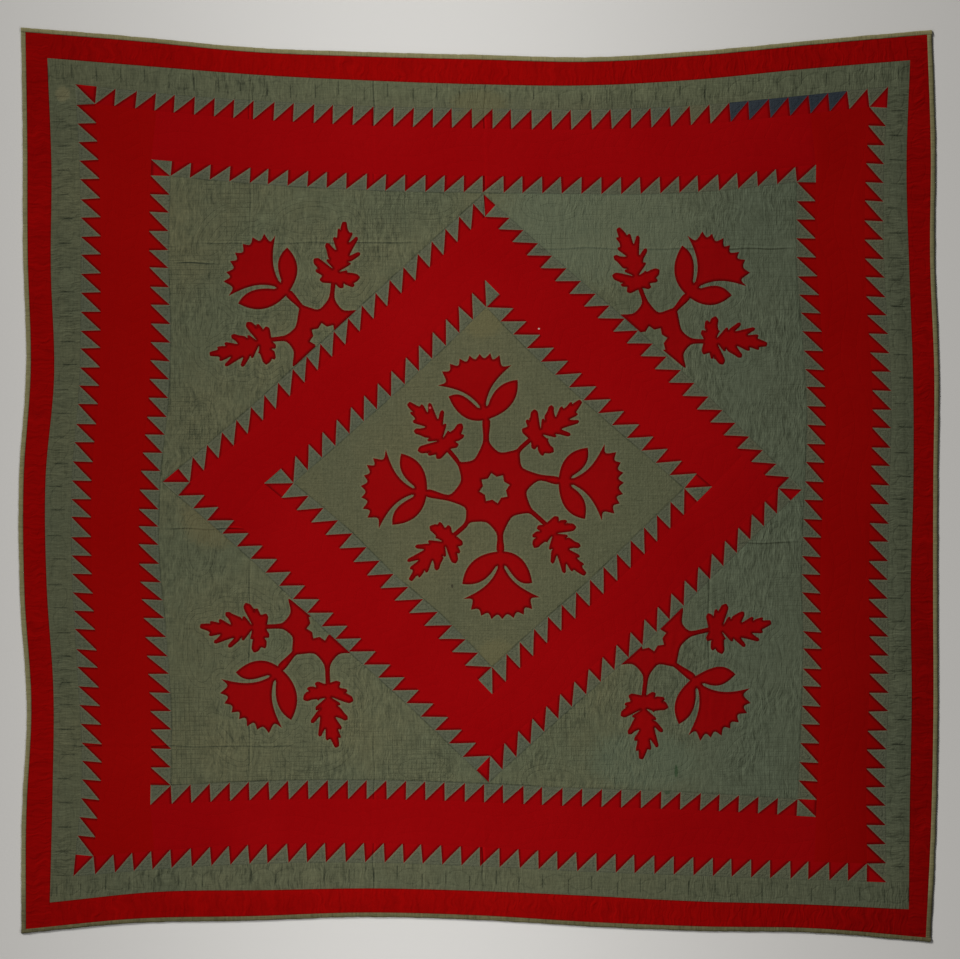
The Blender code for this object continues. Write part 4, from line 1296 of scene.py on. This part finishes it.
M = {
    "border": cotton("green_border_cotton", "border", "border"),
    "edge": cotton("red_border_cotton", "side", "edge"),
    "band": cotton("red_band_cotton", "red", "band"),
    "band_side": cotton("red_side_band_cotton", "side", "band"),
    "saw_green": cotton("green_sawtooth_cotton", "saw", "saw"),
    "saw_red": cotton("red_sawtooth_cotton", "red", "saw"),
    "saw_side": cotton("red_side_sawtooth_cotton", "side", "saw"),
    "saw_blue": cotton("blue_sawtooth_cotton", "blue", "saw"),
    "ground": cotton("green_ground_cotton", "green", "ground"),
    "centre": cotton("green_centre_cotton", "centre", "centre"),
    "motif": cotton("red_applique_cotton", "applied", "motif"),
    "binding": cotton("binding_cotton", "binding", "binding"),
    "back": cotton("backing_cotton", "back", "back"),
}


# ------------------------------------------------------------------- pieces
def cable_relief(u, v, w, seed):
    rise = 0.26 * value_noise(u / 9.0, v / 44, seed) + 0.18 * value_noise(u / 17, v / 38, seed + 1)
    return rise - 0.32 * groove(cable(u, v, w), 3.6)


def edge_relief(u, v, w, seed):
    return 0.20 * value_noise(u / 9.5, v / 42, seed) + 0.14 * value_noise(u / 18, v / 40, seed + 1)


def feather_relief(u, v, w, seed):
    return -0.20 * groove(feather(u, v, w), 3.2) + 0.12 * value_noise(u / 19, v / 19, seed)


def binding_strip(side, full, seed):
    inside_, outside_, start, end = strip_sides("edge", "binding", FRAME_SIDES, side, full)
    n = int(outside_.length / 3.6) + 1
    f = np.linspace(0, 1, n)
    g = np.array((0.0, 0.07, 0.18, 0.34, 0.52, 0.70, 0.84, 0.94, 1.0))
    grid = coons(inside_.at(f), outside_.at(f), start.at(g), end.at(g))
    rng = np.random.default_rng(seed)
    u = f * outside_.length
    wob = 0.45 * value_noise(u / 14, u * 0, seed) + 0.25 * value_noise(u / 6, u * 0, seed + 1)
    profile = np.array((3.9, 4.5, 4.75, 4.8, 4.7, 4.45, 3.95, 3.1, 1.6))
    z = profile[None] + wob[:, None] * np.array((0, 0.4, 0.8, 1, 1, 1, 0.8, 0.5, 0.2))[None]
    # the fold wanders a little in and out
    across = grid[:, -1] - grid[:, 0]
    wide = np.hypot(*across.T)
    push = 0.5 * value_noise(u / 33, u * 0, seed + 2) + 0.35 * value_noise(u / 9, u * 0, seed + 3)
    push = push * np.clip(np.minimum(u, u[-1] - u) / 20, 0, 1)
    grid = grid + (across / wide[:, None])[:, None, :] * (push[:, None] * np.array((0, 0, 0, 0, 0, .2, .5, .8, 1.0))[None])[..., None]
    v = g[None] * wide[:, None]
    obj = closed_grid("binding_" + side + "_cloth", grid, z, [M["binding"]],
                      uv=np.stack((np.broadcast_to(u[:, None], v.shape) * MM, v * MM), -1))
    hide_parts("binding_" + side)
    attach(obj, "root")
    return obj


FULL = {"binding": ("top", "bottom"), "red_border": ("left", "right"),
        "green_border": ("top", "bottom"), "frame_outer_sawtooth": ("top", "bottom"),
        "frame_band": ("left", "right"), "frame_inner_sawtooth": ("top", "bottom"),
        "diamond_outer_sawtooth": ("nw", "se"), "diamond_band": ("nw", "se"),
        "diamond_inner_sawtooth": ("nw", "se")}
for k, side in enumerate(FRAME_SIDES):
    upright = side in ("left", "right")
    binding_strip(side, side in FULL["binding"], 300 + 10 * k)
    long_panel("red_border_" + side, "binding", "red_border", FRAME_SIDES, side, side in FULL["red_border"],
               [M["edge"], M["back"]], edge_relief, 310 + 10 * k)
    long_panel("green_border_" + side, "red_border", "saw_outer_a", FRAME_SIDES, side, side in FULL["green_border"],
               [M["border"], M["back"]], cable_relief, 350 + 10 * k)
    saw = [M["saw_green"], M["saw_side" if upright else "saw_red"], M["saw_blue"], M["back"]]
    saw_strip("frame_outer_sawtooth_" + side, "saw_outer_a", "saw_outer_b", FRAME_SIDES, side,
              side in FULL["frame_outer_sawtooth"], TEETH["frame_outer_sawtooth"][side], saw,
              True, 400 + k)
    long_panel("frame_band_" + side, "saw_outer_b", "saw_inner_a", FRAME_SIDES, side, side in FULL["frame_band"],
               [M["band_side"] if upright else M["band"], M["back"]], feather_relief, 450 + 10 * k)
    saw_strip("frame_inner_sawtooth_" + side, "saw_inner_a", "saw_inner_b", FRAME_SIDES, side,
              side in FULL["frame_inner_sawtooth"], TEETH["frame_inner_sawtooth"][side], saw,
              False, 500 + k)
saw = [M["saw_green"], M["saw_red"], M["saw_blue"], M["back"]]
for k, side in enumerate(DIAMOND_SIDES):
    saw_strip("diamond_outer_sawtooth_" + side, "diamond_a", "diamond_b", DIAMOND_SIDES, side,
              side in FULL["diamond_outer_sawtooth"], TEETH["diamond_outer_sawtooth"][side], saw,
              True, 550 + k)
    long_panel("diamond_band_" + side, "diamond_b", "diamond_c", DIAMOND_SIDES, side, side in FULL["diamond_band"],
               [M["band"], M["back"]], feather_relief, 600 + 10 * k)
    saw_strip("diamond_inner_sawtooth_" + side, "diamond_c", "diamond_d", DIAMOND_SIDES, side,
              side in FULL["diamond_inner_sawtooth"], TEETH["diamond_inner_sawtooth"][side], saw,
              False, 650 + k)

# the centre square
order = list(DIAMOND_SIDES)
n = 176
f = np.linspace(0, 1, n)
ne, se, sw, nw = (Path(SEAMS["diamond_d"][s].at(np.linspace(0, 1, 400))) for s in order)
# inner side L to B reversed, so that the grid's face is up
grid = coons(sw.at(1 - f), ne.at(f), nw.at(f), se.at(1 - f))
flat = grid.reshape(-1, 2)
centre_echo = echo_of("centre")
echo = centre_echo(flat)
z, d = ground_height(flat, DENSE["centre"], echo, "centre")
obj = closed_grid("centre_square_cloth", grid, z.reshape(n, n), [M["centre"], M["back"]],
                  floats={"edge": (d * MM).reshape(n, n), "echo": (echo * MM).reshape(n, n)})
declare(obj, "centre_square", 650, 655, area_of(LOOPS["centre"]))
applique("centre", DENSE["centre"], centre_echo, "centre", [M["motif"]], LOOPS["centre"])

for key, ends, starts, side in TRIANGLES:
    xy, tris, border = tri_grid(*SIDES_OF[key])
    corner_echo = echo_of(key)
    echo = corner_echo(xy)
    z, d = ground_height(xy, DENSE[key], echo, "corner")
    total = len(xy)
    low = np.column_stack((xy[border], np.zeros(len(border))))
    k = len(border)
    nxt = (np.arange(k) + 1) % k
    sides = np.stack((border, total + np.arange(k), total + nxt, border[nxt]), -1)
    faces = list(tris) + list(sides) + [np.arange(total + k - 1, total - 1, -1)]
    marks = [0] * (len(tris) + len(sides)) + [1]
    both = lambda v: np.concatenate((v, v[border])) * MM
    obj = build("corner_triangle_" + key + "_cloth", np.vstack((np.column_stack((xy, z)), low)), faces, marks,
                [M["ground"], M["back"]], floats={"edge": both(d), "echo": both(echo)})
    hi, lo = LOOPS[key].max(0), LOOPS[key].min(0)
    declare(obj, "corner_triangle_" + key, hi[0] - lo[0], hi[1] - lo[1], area_of(LOOPS[key]))
    applique(key, DENSE[key], corner_echo, "corner", [M["motif"]], LOOPS[key])

# -------------------------------------------------------------------- stage
bpy.ops.mesh.primitive_plane_add(size=9.0, location=(0, 0, -0.0006))
floor = bpy.context.object
floor.name = "floor"
pale = bpy.data.materials.new("pale_floor")
pale.use_nodes = True
pale.node_tree.nodes["Principled BSDF"].inputs["Base Color"].default_value = (0.62, 0.61, 0.59, 1)
pale.node_tree.nodes["Principled BSDF"].inputs["Roughness"].default_value = 0.85
floor.data.materials.append(pale)

world = bpy.data.worlds.new("studio")
world.use_nodes = True
world.node_tree.nodes["Background"].inputs["Color"].default_value = (1.0, 0.99, 0.97, 1.0)
world.node_tree.nodes["Background"].inputs["Strength"].default_value = 0.09
bpy.context.scene.world = world
# one large soft lamp, high at the top left, rakes over the relief
lamp = bpy.data.lights.new("key", "SUN")
lamp.energy = 2.65
lamp.angle = math.radians(14)
lamp.color = (1.0, 0.985, 0.96)
key = bpy.data.objects.new("key", lamp)
key.rotation_euler = Vector((-0.62, 0.62, 0.52)).to_track_quat("Z", "Y").to_euler()
bpy.context.scene.collection.objects.link(key)
# a long strip lamp over the middle, so the light falls off to the two sides
strip = bpy.data.lights.new("strip", "AREA")
strip.shape, strip.size, strip.size_y = "RECTANGLE", 0.5, 6.0
strip.energy = 21.0
over = bpy.data.objects.new("strip", strip)
over.location = (-0.15, 0.1, 1.02)
over.visible_camera = False
bpy.context.scene.collection.objects.link(over)

camera = bpy.data.cameras.new("camera")
camera.sensor_width = 36.0
camera.lens = 144.0
camera.clip_end = 100.0
eye = bpy.data.objects.new("camera", camera)
# 2.34 mm of quilt across each of the frame's 960 steps
middle = plan((2.1, 13.3))
eye.location = (middle[0], middle[1], 144.0 / 36.0 * 960 * 2.34 * MM)
bpy.context.scene.collection.objects.link(eye)
bpy.context.scene.camera = eye
bpy.context.scene.view_settings.view_transform = "Standard"
bpy.context.scene.view_settings.look = "None"
